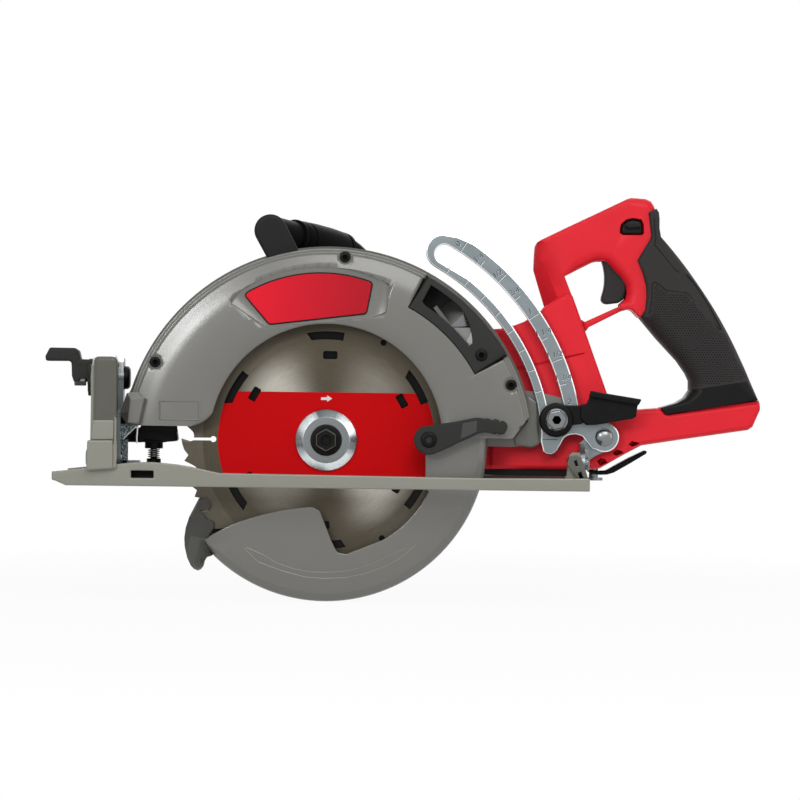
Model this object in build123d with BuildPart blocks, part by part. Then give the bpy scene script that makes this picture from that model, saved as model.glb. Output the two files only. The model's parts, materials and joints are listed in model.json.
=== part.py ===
from build123d import *
import math
import os

# Rear handle circular saw, in millimetres.
# X runs to the rear of the saw, Y from the blade side to the motor side, Z up.
# The origin is on the shoe's sole, in the blade's middle plane, under the arbor.

# Blade and spindle
ARBOR_Z = 30.0
BLADE_R = 92.07
BLADE_T = 1.2
TOOTH_T = 1.8
TEETH = 24
BORE_R = 7.94

# Upper and lower guard
GUARD_X, GUARD_Z = 1.2, 21.4
COVER_R = 129.8
HOUSING_R = 131.6
COVER_Y = -16.5
PARTING_Y = 2.0
HOUSING_Y = 18.0
WALL = 2.5
OPENING_R = 73.5
HUB_R = 24.0
LOWER_R = 102.2
LOWER_LEFT_Y = -11.8
LOWER_RIGHT_Y = 7.5
NOSE_SLOT = 3.2
GUARD_SCREWS = [(-108.5, 78.1), (10.7, 145.8), (116.5, 66.3)]
INSERT_SCREW = (97.6, 85.0)

# Gears and motor
MODULE = 1.0
GEAR_TEETH, PINION_TEETH = 40, 10
CENTRES = MODULE * (GEAR_TEETH + PINION_TEETH) / 2
MOTOR_ANGLE = 60.0
MOTOR_X = CENTRES * math.cos(math.radians(MOTOR_ANGLE))
MOTOR_Z = ARBOR_Z + CENTRES * math.sin(math.radians(MOTOR_ANGLE))
MOTOR_R = 43.0
MOTOR_Y0, MOTOR_Y1, CAP_Y1 = 44.0, 104.0, 116.0

# Rear body and handle
BODY_Y0, BODY_Y1, SPLIT_Y = 24.0, 60.0, 42.0
SKIN, GRIP_T = 5.2, 2.2
BODY_SCREWS = [(74.0, 24.0), (72.0, 90.0), (150.0, 23.0), (143.0, 149.0), (125.0, 92.0), (254.0, 45.5)]

# Depth and bevel adjustment
DEPTH_X, DEPTH_Z = -122.3, 47.6
DEPTH_MAX = 29.0
LINK_RATIO = 0.64
RIVET_X, RIVET_Z = 177.1, 33.8
BOLT_X, BOLT_Z = 146.2, 44.5
BEVEL_Z = 17.0
STUD_Y, STUD_Z = 26.5, 68.2
PLATE_X0, PLATE_X1 = -133.7, -130.2
QUAD_X0, QUAD_X1 = -147.5, -134.0

# Shoe
SHOE_X0, SHOE_X1, SHOE_Y0, SHOE_Y1 = -171.0, 166.0, -40.0, 104.0
SHOE_T = 4.5
SLOT = (-103.5, 121.0, -31.0, 38.0)
FENCE_X, FENCE_Z, FENCE_W, FENCE_H = -114.4, 7.6, 14.4, 4.8

RUN = 0.05
TIGHT = 0.02


def layer(y):
    """Sketch plane facing the blade side at depth y; a positive extrusion comes towards the blade side."""
    return Plane.XZ.offset(-y)


def polar(radius, angle, centre=(0.0, ARBOR_Z)):
    a = math.radians(angle)
    return (centre[0] + radius * math.cos(a), centre[1] + radius * math.sin(a))


def turned(centre, steps, bores=()):
    """Round piece along Y: steps and bores are (y from, y to, radius)."""
    with BuildPart() as piece:
        for y0, y1, radius in steps:
            with BuildSketch(layer(y1)):
                with Locations(centre):
                    Circle(radius)
            extrude(amount=y1 - y0)
        for y0, y1, radius in bores:
            with BuildSketch(layer(y1)):
                with Locations(centre):
                    Circle(radius)
            extrude(amount=y1 - y0, mode=Mode.SUBTRACT)
    return piece


def bearing(centre, y0, width, bore, outer):
    """Ball bearing drawn as its two rings and the shield between them."""
    with BuildPart() as piece:
        with BuildSketch(layer(y0 + width)):
            with Locations(centre):
                Circle(outer)
                Circle(bore, mode=Mode.SUBTRACT)
        extrude(amount=width)
        step = (outer - bore) * 0.3
        for y1 in (y0 + width, y0 + 0.6):
            with BuildSketch(layer(y1)):
                with Locations(centre):
                    Circle(outer - step)
                    Circle(bore + step, mode=Mode.SUBTRACT)
            extrude(amount=0.6, mode=Mode.SUBTRACT)
    return piece


ARBOR = (0.0, ARBOR_Z)
MOTOR = (MOTOR_X, MOTOR_Z)
GUARD = (GUARD_X, GUARD_Z)


# Saw blade: plate with gullets, carbide teeth, expansion slots and windows
def tooth_points(tip_angle):
    pitch = 360.0 / TEETH
    return [
        polar(BLADE_R - 0.4, tip_angle),
        polar(BLADE_R - 3.0, tip_angle + 0.52 * pitch),
        polar(BLADE_R - 7.5, tip_angle + 0.68 * pitch),
        polar(BLADE_R - 10.5, tip_angle + 0.83 * pitch),
        polar(BLADE_R - 8.0, tip_angle + 0.95 * pitch),
    ]


with BuildPart() as saw_blade:
    with BuildSketch(layer(BLADE_T / 2)):
        with BuildLine():
            for k in range(TEETH):
                tip, shoulder, fall, gullet, face = tooth_points(k * 360.0 / TEETH)
                next_tip = tooth_points((k + 1) * 360.0 / TEETH)[0]
                Polyline(tip, shoulder, fall)
                ThreePointArc(fall, gullet, face)
                Line(face, next_tip)
        make_face()
        with Locations(ARBOR):
            Circle(BORE_R, mode=Mode.SUBTRACT)
        for k in range(6):
            a = 90.0 + 60.0 * k
            with BuildLine():
                ThreePointArc(polar(64.0, a - 9), polar(64.0, a), polar(64.0, a + 9))
                Line(polar(64.0, a + 9), polar(69.0, a + 11))
                ThreePointArc(polar(69.0, a + 11), polar(69.0, a), polar(69.0, a - 9))
                Line(polar(69.0, a - 9), polar(64.0, a - 9))
            make_face(mode=Mode.SUBTRACT)
            with Locations(Pos(*polar(54.0, a - 2)) * Rot(0, 0, a)):
                RectangleRounded(5.0, 9.0, 1.2, mode=Mode.SUBTRACT)
        for k in range(3):
            a = 59.0 + 120.0 * k
            with Locations(Pos(*polar(77.0, a)) * Rot(0, 0, a)):
                Rectangle(14.5, 1.3, mode=Mode.SUBTRACT)
            with Locations(polar(69.7, a)):
                Circle(1.7, mode=Mode.SUBTRACT)
    extrude(amount=BLADE_T)
    with BuildSketch(layer(TOOTH_T / 2)):
        for k in range(TEETH):
            a = k * 360.0 / TEETH
            with BuildLine():
                Polyline(polar(BLADE_R, a), polar(BLADE_R - 1.2, a + 2.2), polar(BLADE_R - 5.6, a + 1.4),
                         polar(BLADE_R - 5.6, a - 0.4), close=True)
            make_face()
    extrude(amount=TOOTH_T)

spindle = turned(ARBOR, [(-4.5, 5.0, BORE_R - RUN), (5.0, 20.5, 8.5), (20.5, 23.5, 11.0), (23.5, 34.0, 9.0),
                         (34.0, 42.4, 6.0)], [(-4.5, 14.0, 4.0 + TIGHT)])
inner_flange = turned(ARBOR, [(0.6, 5.0, 19.0)], [(0.6, 5.0, BORE_R)])
with BuildPart() as outer_flange:
    with BuildSketch(Plane.YZ):
        with BuildLine():
            Polyline((-0.6, ARBOR_Z + BORE_R), (-0.6, ARBOR_Z + 19.15), (-2.2, ARBOR_Z + 19.15),
                     (-6.0, ARBOR_Z + 14.5), (-6.0, ARBOR_Z + 4.2), (-4.6, ARBOR_Z + 4.2),
                     (-4.6, ARBOR_Z + BORE_R), close=True)
        make_face()
    revolve(axis=Axis((0, 0, ARBOR_Z), (0, 1, 0)))

with BuildPart() as blade_bolt:
    for y1, y0, radius in ((12.0, -6.0, 4.0), (-6.0, -8.2, 9.7)):
        with BuildSketch(layer(y1)):
            with Locations(ARBOR):
                Circle(radius)
        extrude(amount=y1 - y0)
    with BuildSketch(layer(-8.2)):
        with Locations(ARBOR):
            RegularPolygon(7.3, 6, rotation=18)
    extrude(amount=5.8)
    chamfer(blade_bolt.faces().sort_by(Axis.Y)[0].edges(), 0.9)
    with BuildSketch(layer(-11.5)):
        with Locations(ARBOR):
            Circle(2.2)
    extrude(amount=3.0, mode=Mode.SUBTRACT)


# Spur gears: involute teeth from the module, the gear's tips shortened for the small pinion
def involute_angle(radius, base):
    ratio = max(radius / base, 1.0)
    return math.sqrt(ratio * ratio - 1) - math.acos(1 / ratio)


def gear_outline(teeth, tip, root, backlash, start):
    """Closed outline of a spur gear about the sketch origin; the first tooth points at start degrees."""
    pitch = MODULE * teeth / 2
    base = pitch * math.cos(math.radians(20))
    half = math.pi / (2 * teeth) - backlash / (2 * pitch) + involute_angle(pitch, base)
    radii = [max(base, root) + (tip - max(base, root)) * k / 4 for k in range(5)]
    for k in range(teeth):
        mid = math.radians(start) + 2 * math.pi * k / teeth
        gap = math.radians(start) + 2 * math.pi * (k + 1) / teeth
        rise = [(r * math.cos(mid - half + involute_angle(r, base)),
                 r * math.sin(mid - half + involute_angle(r, base))) for r in radii]
        fall = [(r * math.cos(mid + half - involute_angle(r, base)),
                 r * math.sin(mid + half - involute_angle(r, base))) for r in reversed(radii)]
        foot = (root * math.cos(mid - half), root * math.sin(mid - half))
        heel = (root * math.cos(mid + half), root * math.sin(mid + half))
        next_foot = (root * math.cos(gap - half), root * math.sin(gap - half))
        Polyline(foot, *rise, *fall, heel, next_foot)


PITCH_GEAR = MODULE * GEAR_TEETH / 2
PITCH_PINION = MODULE * PINION_TEETH / 2
with BuildPart() as drive_gear:
    with BuildSketch(layer(33.0) * Pos(*ARBOR)):
        with BuildLine():
            gear_outline(GEAR_TEETH, PITCH_GEAR + 0.6, PITCH_GEAR - 1.25, 0.12, MOTOR_ANGLE)
        make_face()
        Circle(9.0 + TIGHT, mode=Mode.SUBTRACT)
        with PolarLocations(14.0, 6):
            Circle(2.2, mode=Mode.SUBTRACT)
    extrude(amount=9.0)

with BuildPart() as rotor_shaft:
    with BuildSketch(layer(34.0) * Pos(*MOTOR)):
        with BuildLine():
            gear_outline(PINION_TEETH, PITCH_PINION + 1.0, PITCH_PINION - 1.25, 0.12,
                         MOTOR_ANGLE + 180.0 + 180.0 / PINION_TEETH)
        make_face()
    extrude(amount=11.0)
    for y0, y1, radius in ((34.0, 96.5, 5.0), (96.5, 107.0, 4.0)):
        with BuildSketch(layer(y1) * Pos(*MOTOR)):
            Circle(radius)
        extrude(amount=y1 - y0)

rotor_core = turned(MOTOR, [(68.0, 94.0, 18.6)], [(68.0, 94.0, 5.0 + TIGHT)])
with BuildPart() as cooling_fan:
    with BuildSketch(layer(64.0) * Pos(*MOTOR)):
        Circle(34.0)
        Circle(5.0 + TIGHT, mode=Mode.SUBTRACT)
    extrude(amount=1.6)
    with BuildSketch(layer(64.0) * Pos(*MOTOR)):
        Circle(9.0)
        Circle(5.0 + TIGHT, mode=Mode.SUBTRACT)
    extrude(amount=9.0)
    with BuildSketch(layer(63.0) * Pos(*MOTOR)):
        with PolarLocations(21.0, 11):
            Rectangle(24.0, 1.6, rotation=28)
    extrude(amount=7.0)

with BuildPart() as stator_core:
    with BuildSketch(layer(94.0) * Pos(*MOTOR)):
        Circle(39.8)
        Circle(31.0, mode=Mode.SUBTRACT)
        with PolarLocations(25.6, 6):
            Rectangle(12.4, 9.0)
        Circle(19.4, mode=Mode.SUBTRACT)
    extrude(amount=26.0)
with BuildPart() as stator_windings:
    with BuildSketch(layer(97.0) * Pos(*MOTOR)):
        with PolarLocations(25.6, 6, start_angle=30):
            Rectangle(8.0, 10.0)
    extrude(amount=32.0)

spindle_bearing_front = bearing(ARBOR, 8.3, 12.0, 8.5 + TIGHT, 20.0 - TIGHT)
spindle_bearing_rear = bearing(ARBOR, 34.6, 7.8, 6.0 + TIGHT, 14.0 - TIGHT)
rotor_bearing_front = bearing(MOTOR, 45.2, 7.8, 5.0 + TIGHT, 13.0 - TIGHT)
rotor_bearing_rear = bearing(MOTOR, 98.0, 7.0, 4.0 + TIGHT, 11.0 - TIGHT)

with BuildPart() as guard_return_spring:
    with BuildLine() as spring_path:
        Helix(pitch=2.7, height=5.4, radius=26.9, center=(0, 8.8, ARBOR_Z), direction=(0, 1, 0))
    with BuildSketch(Plane(origin=spring_path.line @ 0, z_dir=spring_path.line % 0)):
        Circle(1.0)
    sweep()


# Upper guard
def guard_sector(r_in, r_out, a0, a1):
    """Ring sector about the guard's centre."""
    mid = (a0 + a1) / 2
    ThreePointArc(polar(r_in, a0, GUARD), polar(r_in, mid, GUARD), polar(r_in, a1, GUARD))
    Line(polar(r_in, a1, GUARD), polar(r_out, a1, GUARD))
    ThreePointArc(polar(r_out, a1, GUARD), polar(r_out, mid, GUARD), polar(r_out, a0, GUARD))
    Line(polar(r_out, a0, GUARD), polar(r_in, a0, GUARD))


RIGHT_END = polar(COVER_R, 14.0, GUARD)
LEFT_END = (GUARD_X - math.sqrt(COVER_R**2 - (38.0 - GUARD_Z) ** 2), 38.0)
OPEN_A0, OPEN_A1 = 2.0, 162.5
CHUTE_R, CHUTE_A0, CHUTE_A1 = 105.5, 29.0, 62.0
PLATE_OUTLINE = [(-52.5, 121.5), (-36.5, 103.1), (24.3, 110.6), (27.9, 129.8)]
RECESS_OUTLINE = [(-63.2, 116.9), (-40.6, 99.7), (33.2, 108.5), (37.0, 130.5)]
LUMP = [(-126.8, 57.6), (-119.6, 59.3), (-114.4, 54.0), (-117.4, 38.5), (-125.0, 38.4), (-130.4, 45.0)]

with BuildPart() as guard_cover:
    with BuildSketch(layer(PARTING_Y)):
        with BuildLine():
            Polyline(polar(OPENING_R, OPEN_A0), (118.0, 32.5), (127.2, 45.0), RIGHT_END)
            ThreePointArc(RIGHT_END, polar(COVER_R, 90.0, GUARD), LEFT_END)
            Polyline(LEFT_END, (-80.0, 37.8), (-75.0, 40.5), polar(OPENING_R, OPEN_A1))
            ThreePointArc(polar(OPENING_R, OPEN_A1), polar(OPENING_R, 80.0), polar(OPENING_R, OPEN_A0))
        make_face()
    extrude(amount=PARTING_Y - COVER_Y)
    rim = guard_cover.edges().filter_by(GeomType.CIRCLE).group_by(Axis.Y)[0].sort_by(SortBy.LENGTH)[-1]
    fillet(rim, 6.0)
    with BuildSketch(layer(PARTING_Y)):
        with Locations(GUARD):
            Circle(COVER_R - 3.0)
    extrude(amount=PARTING_Y - COVER_Y - WALL, mode=Mode.SUBTRACT)
    with BuildSketch(layer(PARTING_Y)):
        with Locations((-125.0, 52.0)):
            Rectangle(30.0, 44.0)
    extrude(amount=PARTING_Y + 13.0, mode=Mode.SUBTRACT)
    with BuildSketch(layer(-14.0)):
        Polygon(*LUMP, align=None)
    extrude(amount=6.0)
    top_edges = guard_cover.edges().group_by(Axis.Y)[0]
    fillet(top_edges, 2.0)
    with BuildSketch(layer(-6.0)):
        with BuildLine():
            guard_sector(CHUTE_R, COVER_R + 5.0, CHUTE_A0, CHUTE_A1)
        make_face()
    extrude(amount=20.0, mode=Mode.SUBTRACT)
    for x, z in GUARD_SCREWS:
        with BuildSketch(layer(-13.0)):
            with Locations((x, z)):
                Circle(2.3)
        extrude(amount=4.0, mode=Mode.SUBTRACT)
        with BuildSketch(layer(-14.9)):
            with Locations((x, z)):
                Circle(5.0)
        extrude(amount=2.0, mode=Mode.SUBTRACT)
    with BuildSketch(layer(COVER_Y + 0.6)):
        with BuildLine():
            Polyline(RECESS_OUTLINE[0], RECESS_OUTLINE[1], RECESS_OUTLINE[2], RECESS_OUTLINE[3])
            ThreePointArc(RECESS_OUTLINE[3], (-13.0, 140.5), RECESS_OUTLINE[0])
        make_face()
        with Locations((-93.2, 48.2)):
            RectangleRounded(23.5, 10.5, 1.5)
    extrude(amount=2.0, mode=Mode.SUBTRACT)
    with BuildSketch(layer(COVER_Y + 1.4)):
        with BuildLine():
            Polyline(PLATE_OUTLINE[0], PLATE_OUTLINE[1], PLATE_OUTLINE[2], PLATE_OUTLINE[3])
            ThreePointArc(PLATE_OUTLINE[3], (-11.6, 135.0), PLATE_OUTLINE[0])
        make_face()
    extrude(amount=2.0, mode=Mode.SUBTRACT)

with BuildPart() as name_plate:
    with BuildSketch(layer(COVER_Y + 1.4)):
        with BuildLine():
            Polyline(PLATE_OUTLINE[0], PLATE_OUTLINE[1], PLATE_OUTLINE[2], PLATE_OUTLINE[3])
            ThreePointArc(PLATE_OUTLINE[3], (-11.6, 135.0), PLATE_OUTLINE[0])
        make_face()
        offset(amount=-0.15)
    extrude(amount=0.8)

with BuildPart() as chip_insert:
    with BuildSketch(layer(-6.2)):
        with BuildLine():
            guard_sector(CHUTE_R + 0.2, COVER_R, CHUTE_A0 + 0.1, CHUTE_A1 - 0.1)
        make_face()
    extrude(amount=10.6)
    outer_edge = chip_insert.edges().filter_by(GeomType.CIRCLE).group_by(Axis.Y)[0].sort_by(SortBy.LENGTH)[-1]
    fillet(outer_edge, 6.0)
    with BuildSketch(layer(-6.2)):
        with Locations(GUARD):
            Circle(COVER_R - 3.0)
    extrude(amount=7.8, mode=Mode.SUBTRACT)
    with BuildSketch(layer(-6.0)):
        with BuildLine():
            Polyline((65.6, 129.4), (60.1, 117.5), (89.7, 89.7), (91.9, 94.2))
            ThreePointArc((91.9, 94.2), (85.6, 111.0), (65.6, 129.4))
        make_face()
        with Locations(INSERT_SCREW):
            Circle(2.3)
    extrude(amount=14.0, mode=Mode.SUBTRACT)
    with BuildSketch(layer(-14.9)):
        with Locations(INSERT_SCREW):
            Circle(4.6)
    extrude(amount=2.0, mode=Mode.SUBTRACT)

with BuildPart() as guard_screws:
    for x, z in GUARD_SCREWS + [INSERT_SCREW]:
        with BuildSketch(layer(-15.0)):
            with Locations((x, z)):
                Circle(3.5)
        extrude(amount=1.5)
        with BuildSketch(layer(-1.0)):
            with Locations((x, z)):
                Circle(2.0)
        extrude(amount=14.0)
        with BuildSketch(layer(-15.6)):
            with Locations((x, z)):
                RegularPolygon(1.9, 6)
        extrude(amount=2.0, mode=Mode.SUBTRACT)

HOUSE_RIGHT = polar(HOUSING_R, 12.5, GUARD)
HOUSE_LEFT = (GUARD_X - math.sqrt(HOUSING_R**2 - (38.0 - GUARD_Z) ** 2), 38.0)
with BuildPart() as guard_housing:
    with BuildSketch(layer(HOUSING_Y)):
        with BuildLine():
            Polyline((29.85, 27.0), (119.5, 30.5), (129.0, 44.0), HOUSE_RIGHT)
            ThreePointArc(HOUSE_RIGHT, polar(HOUSING_R, 90.0, GUARD), HOUSE_LEFT)
            Polyline(HOUSE_LEFT, (-28.9, 38.0))
            ThreePointArc((-28.9, 38.0), (0.0, 0.0), (29.85, 27.0))
        make_face()
    extrude(amount=HOUSING_Y - PARTING_Y)
    with BuildSketch(layer(HOUSING_Y - WALL)):
        with Locations(GUARD):
            Circle(HOUSING_R - 3.0)
    extrude(amount=HOUSING_Y, mode=Mode.SUBTRACT)
    with BuildSketch(layer(HOUSING_Y)):
        with Locations((-127.0, 47.0)):
            Rectangle(30.0, 30.0)
    extrude(amount=HOUSING_Y, mode=Mode.SUBTRACT)
    with BuildSketch(layer(14.5)):
        with BuildLine():
            Polyline((DEPTH_X, DEPTH_Z - 7.2), (-110.0, 41.0), (-110.0, 69.0), (-119.0, 69.0), (-123.0, 63.0),
                     (DEPTH_X - 6.4, DEPTH_Z + 3.3))
            ThreePointArc((DEPTH_X - 6.4, DEPTH_Z + 3.3), (DEPTH_X - 6.0, DEPTH_Z - 4.0), (DEPTH_X, DEPTH_Z - 7.2))
        make_face()
    extrude(amount=20.0)
    with BuildSketch(layer(16.0)):
        with Locations((-108.0, 55.0)):
            Rectangle(8.0, 28.0)
    extrude(amount=21.5)
    with BuildSketch(layer(15.0)):
        with Locations((DEPTH_X, DEPTH_Z)):
            Circle(4.0 + RUN)
    extrude(amount=22.0, mode=Mode.SUBTRACT)
    with BuildSketch(layer(HOUSING_Y - 1.0)):
        with Locations(ARBOR):
            Circle(HUB_R)
    extrude(amount=HOUSING_Y - 1.0 - 5.6)
    for y0, y1, radius in ((8.2, 19.0, 20.0), (5.0, 8.5, 13.0)):
        with BuildSketch(layer(y1)):
            with Locations(ARBOR):
                Circle(radius)
        extrude(amount=y1 - y0, mode=Mode.SUBTRACT)
    with BuildSketch(layer(HOUSING_Y - 1.0)):
        with Locations(*GUARD_SCREWS, INSERT_SCREW):
            Circle(5.0)
        with Locations(GUARD):
            Circle(COVER_R - 3.2, mode=Mode.INTERSECT)
    extrude(amount=HOUSING_Y - 1.0 + 13.9)
    with BuildSketch(layer(HOUSING_Y - 1.0)):
        Polygon((67.0, 114.5), (97.0, 76.0), (99.0, 77.6), (69.0, 116.1), align=None)
    extrude(amount=HOUSING_Y - 1.0 + 11.0)
    with BuildSketch(layer(0.0)):
        with Locations(*GUARD_SCREWS, INSERT_SCREW):
            Circle(2.0 + RUN)
    extrude(amount=16.0, mode=Mode.SUBTRACT)
    for x, z in ((MOTOR_X + 18.0, MOTOR_Z), (MOTOR_X + 9.0, MOTOR_Z + 15.6), (MOTOR_X - 9.0, MOTOR_Z + 15.6)):
        with BuildSketch(layer(HOUSING_Y)):
            with Locations((x, z)):
                Circle(2.0 + RUN)
        extrude(amount=5.0, mode=Mode.SUBTRACT)


# Lower guard: two walls and a rim around the lower half of the blade, with a nose at the front
NOSE = [(-79.9, -7.9), (-86.9, -22.6), (-88.9, -35.9), (-85.4, -50.5), (-79.9, -53.4), (-76.9, -49.2), (-71.5, -43.6)]
LOWER_A0, LOWER_A1 = -134.0, 22.0
with BuildPart() as lower_guard:
    with BuildSketch(layer(LOWER_RIGHT_Y)):
        with BuildLine():
            ThreePointArc(polar(LOWER_R, LOWER_A0), polar(LOWER_R, -60.0), polar(LOWER_R, LOWER_A1))
            Line(polar(LOWER_R, LOWER_A1), ARBOR)
            Line(ARBOR, polar(LOWER_R, LOWER_A0))
        make_face()
        with Locations(ARBOR):
            Circle(30.0)
            Circle(HUB_R + 0.08, mode=Mode.SUBTRACT)
    extrude(amount=2.0)
    with BuildSketch(layer(LOWER_RIGHT_Y)):
        with BuildLine():
            ThreePointArc(polar(LOWER_R, LOWER_A0), polar(LOWER_R, -60.0), polar(LOWER_R, LOWER_A1))
            Line(polar(LOWER_R, LOWER_A1), polar(LOWER_R - 2.2, LOWER_A1))
            ThreePointArc(polar(LOWER_R - 2.2, LOWER_A1), polar(LOWER_R - 2.2, -60.0), polar(LOWER_R - 2.2, LOWER_A0))
            Line(polar(LOWER_R - 2.2, LOWER_A0), polar(LOWER_R, LOWER_A0))
        make_face()
    extrude(amount=LOWER_RIGHT_Y - LOWER_LEFT_Y)
    with BuildSketch(layer(LOWER_LEFT_Y + 2.0)):
        with BuildLine():
            ThreePointArc(polar(LOWER_R, LOWER_A0), polar(LOWER_R, -60.0), polar(LOWER_R, LOWER_A1))
            Line(polar(LOWER_R, LOWER_A1), polar(60.0, LOWER_A1))
            Polyline(polar(60.0, LOWER_A1), polar(60.0, -8.0), polar(72.5, -12.0))
            ThreePointArc(polar(72.5, -12.0), polar(72.5, -35.0), polar(72.5, -60.0))
            Polyline(polar(72.5, -60.0), (13.5, -41.9), (7.8, -40.7), (3.9, -33.1), (-3.2, -14.9), (-7.7, -12.4))
            ThreePointArc((-7.7, -12.4), (-34.8, -17.8), (-60.0, -30.7))
            Polyline((-60.0, -30.7), (-76.3, -38.5), polar(LOWER_R, LOWER_A0))
        make_face()
    extrude(amount=2.0)
    with BuildSketch(layer(LOWER_RIGHT_Y)):
        with BuildLine():
            ThreePointArc(NOSE[0], NOSE[1], NOSE[2])
            Polyline(NOSE[2], NOSE[3], NOSE[4], NOSE[5], NOSE[6], polar(LOWER_R - 2.2, LOWER_A0 + 3.0))
            ThreePointArc(polar(LOWER_R - 2.2, LOWER_A0 + 3.0), polar(97.5, -143.0), NOSE[0])
        make_face()
    extrude(amount=LOWER_RIGHT_Y - LOWER_LEFT_Y)
    # Slot in the nose that the teeth run through
    with BuildSketch(layer(NOSE_SLOT)):
        with Locations(ARBOR):
            Circle(BLADE_R + NOSE_SLOT)
    extrude(amount=2 * NOSE_SLOT, mode=Mode.SUBTRACT)

SCREW_AT = (65.7, 32.9)
LEVER_Y0, LEVER_Y1 = -24.0, -17.2
with BuildPart() as guard_lever:
    with BuildSketch(layer(LEVER_Y1)):
        with BuildLine():
            Polyline((71.0, 39.6), (76.4, 35.8), (90.8, 43.3), (105.3, 45.3))
            ThreePointArc((105.3, 45.3), (113.4, 40.5), (109.8, 35.3))
            Polyline((109.8, 35.3), (90.9, 32.5), (70.5, 26.0))
            ThreePointArc((70.5, 26.0), (57.4, 32.9), (71.0, 39.6))
        make_face()
    extrude(amount=LEVER_Y1 - LEVER_Y0)
    with BuildSketch(layer(LOWER_LEFT_Y)):
        with Locations(SCREW_AT):
            Circle(6.0)
    extrude(amount=LOWER_LEFT_Y - LEVER_Y1)
    with BuildSketch(layer(LOWER_LEFT_Y)):
        with Locations(SCREW_AT):
            Circle(2.5)
    extrude(amount=20.0, mode=Mode.SUBTRACT)
guard_lever_screw = turned(SCREW_AT, [(-24.9, -24.0, 4.4), (-24.0, -12.2, 2.5 - RUN)], [(-24.9, -24.2, 1.6)])

# Gear case with the tail that carries the depth clamp
TAIL = [(10.0, 27.0), (120.0, 27.0), (137.0, 29.7), (152.0, 33.0), (157.0, 44.0), (152.0, 58.0), (136.0, 62.0),
        (30.0, 72.0)]
CASE_SCREWS = [(MOTOR_X + 18.0, MOTOR_Z), (MOTOR_X + 9.0, MOTOR_Z + 15.6), (MOTOR_X - 9.0, MOTOR_Z + 15.6)]
LOCK_Y, LOCK_R = 22.0, 1.5
with BuildPart() as gear_case:
    with BuildSketch(layer(40.0)):
        with Locations(ARBOR):
            Circle(24.2)
        with Locations(MOTOR):
            Circle(26.0)
        make_hull()
    extrude(amount=40.0 - HOUSING_Y)
    with BuildSketch(layer(MOTOR_Y0)):
        with Locations(MOTOR):
            Circle(MOTOR_R)
    extrude(amount=6.0)
    with BuildSketch(layer(53.6)):
        with Locations(MOTOR):
            Circle(16.0)
    extrude(amount=10.0)
    with BuildSketch(layer(BODY_Y0)):
        Polygon(*TAIL, align=None)
    extrude(amount=BODY_Y0 - HOUSING_Y)
    with BuildSketch(Plane.YZ.offset(-34.0)):
        with Locations((LOCK_Y, ARBOR_Z)):
            Circle(3.9)
    extrude(amount=14.0)
    for centre, y0, y1, radius in ((ARBOR, 18.0, 34.2, 21.8), (MOTOR, 18.0, 34.2, 8.0), (ARBOR, 34.0, 42.6, 14.0),
                                   (MOTOR, 34.0, 46.0, 6.0), (MOTOR, 45.0, 54.0, 13.0)):
        with BuildSketch(layer(y1)):
            with Locations(centre):
                Circle(radius)
        extrude(amount=y1 - y0, mode=Mode.SUBTRACT)
    for centre, y0, y1, radius in (((BOLT_X, BOLT_Z), 17.0, 25.0, 3.0 + RUN), ((BOLT_X, BOLT_Z), 21.0, 25.0, 7.2)):
        with BuildSketch(layer(y1)):
            with Locations(centre):
                Circle(radius)
        extrude(amount=y1 - y0, mode=Mode.SUBTRACT)
    with BuildSketch(layer(28.0)):
        with Locations(*CASE_SCREWS):
            Circle(2.0 + RUN)
    extrude(amount=12.0, mode=Mode.SUBTRACT)
    with BuildSketch(Plane.YZ.offset(-36.0)):
        with Locations((LOCK_Y, ARBOR_Z)):
            Circle(LOCK_R + RUN)
    extrude(amount=20.0, mode=Mode.SUBTRACT)

with BuildPart() as spindle_lock_button:
    for x0, x1, radius in ((-40.0, -13.0, LOCK_R), (-46.0, -38.0, 3.7)):
        with BuildSketch(Plane.YZ.offset(x0)):
            with Locations((LOCK_Y, ARBOR_Z)):
                Circle(radius)
        extrude(amount=x1 - x0)

# Motor tube and vented cap
with BuildPart() as motor_housing:
    with BuildSketch(layer(MOTOR_Y1) * Pos(*MOTOR)):
        Circle(MOTOR_R)
        Circle(MOTOR_R - 3.0, mode=Mode.SUBTRACT)
    extrude(amount=MOTOR_Y1 - MOTOR_Y0)
    with BuildSketch(layer(100.0)):
        with Locations((16.0, 96.0)):
            Rectangle(22.0, 7.0)
    extrude(amount=20.0)
    with BuildSketch(layer(MOTOR_Y1) * Pos(*MOTOR)):
        Circle(MOTOR_R - 3.0)
    extrude(amount=MOTOR_Y1 - MOTOR_Y0, mode=Mode.SUBTRACT)
    with BuildSketch(layer(63.0) * Pos(*MOTOR)):
        with PolarLocations(MOTOR_R, 9, start_angle=100, angular_range=160):
            Rectangle(10.0, 4.0)
    extrude(amount=10.0, mode=Mode.SUBTRACT)

with BuildPart() as motor_end_cap:
    with BuildSketch(layer(CAP_Y1) * Pos(*MOTOR)):
        Circle(MOTOR_R)
    extrude(amount=CAP_Y1 - MOTOR_Y1)
    fillet(motor_end_cap.faces().sort_by(Axis.Y)[-1].edges(), 5.0)
    with BuildSketch(layer(CAP_Y1 - 3.5) * Pos(*MOTOR)):
        Circle(MOTOR_R - 3.0)
    extrude(amount=CAP_Y1, mode=Mode.SUBTRACT)
    with BuildSketch(layer(CAP_Y1 - 2.0) * Pos(*MOTOR)):
        Circle(14.5)
    extrude(amount=CAP_Y1 - 2.0 - 98.0)
    with BuildSketch(layer(CAP_Y1) * Pos(*MOTOR)):
        with PolarLocations(26.0, 14):
            SlotOverall(15.0, 3.6)
    extrude(amount=8.0, mode=Mode.SUBTRACT)
    for y1, radius in ((105.2, 11.0), (109.0, 5.0)):
        with BuildSketch(layer(y1) * Pos(*MOTOR)):
            Circle(radius)
        extrude(amount=y1 - 97.0, mode=Mode.SUBTRACT)


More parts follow.
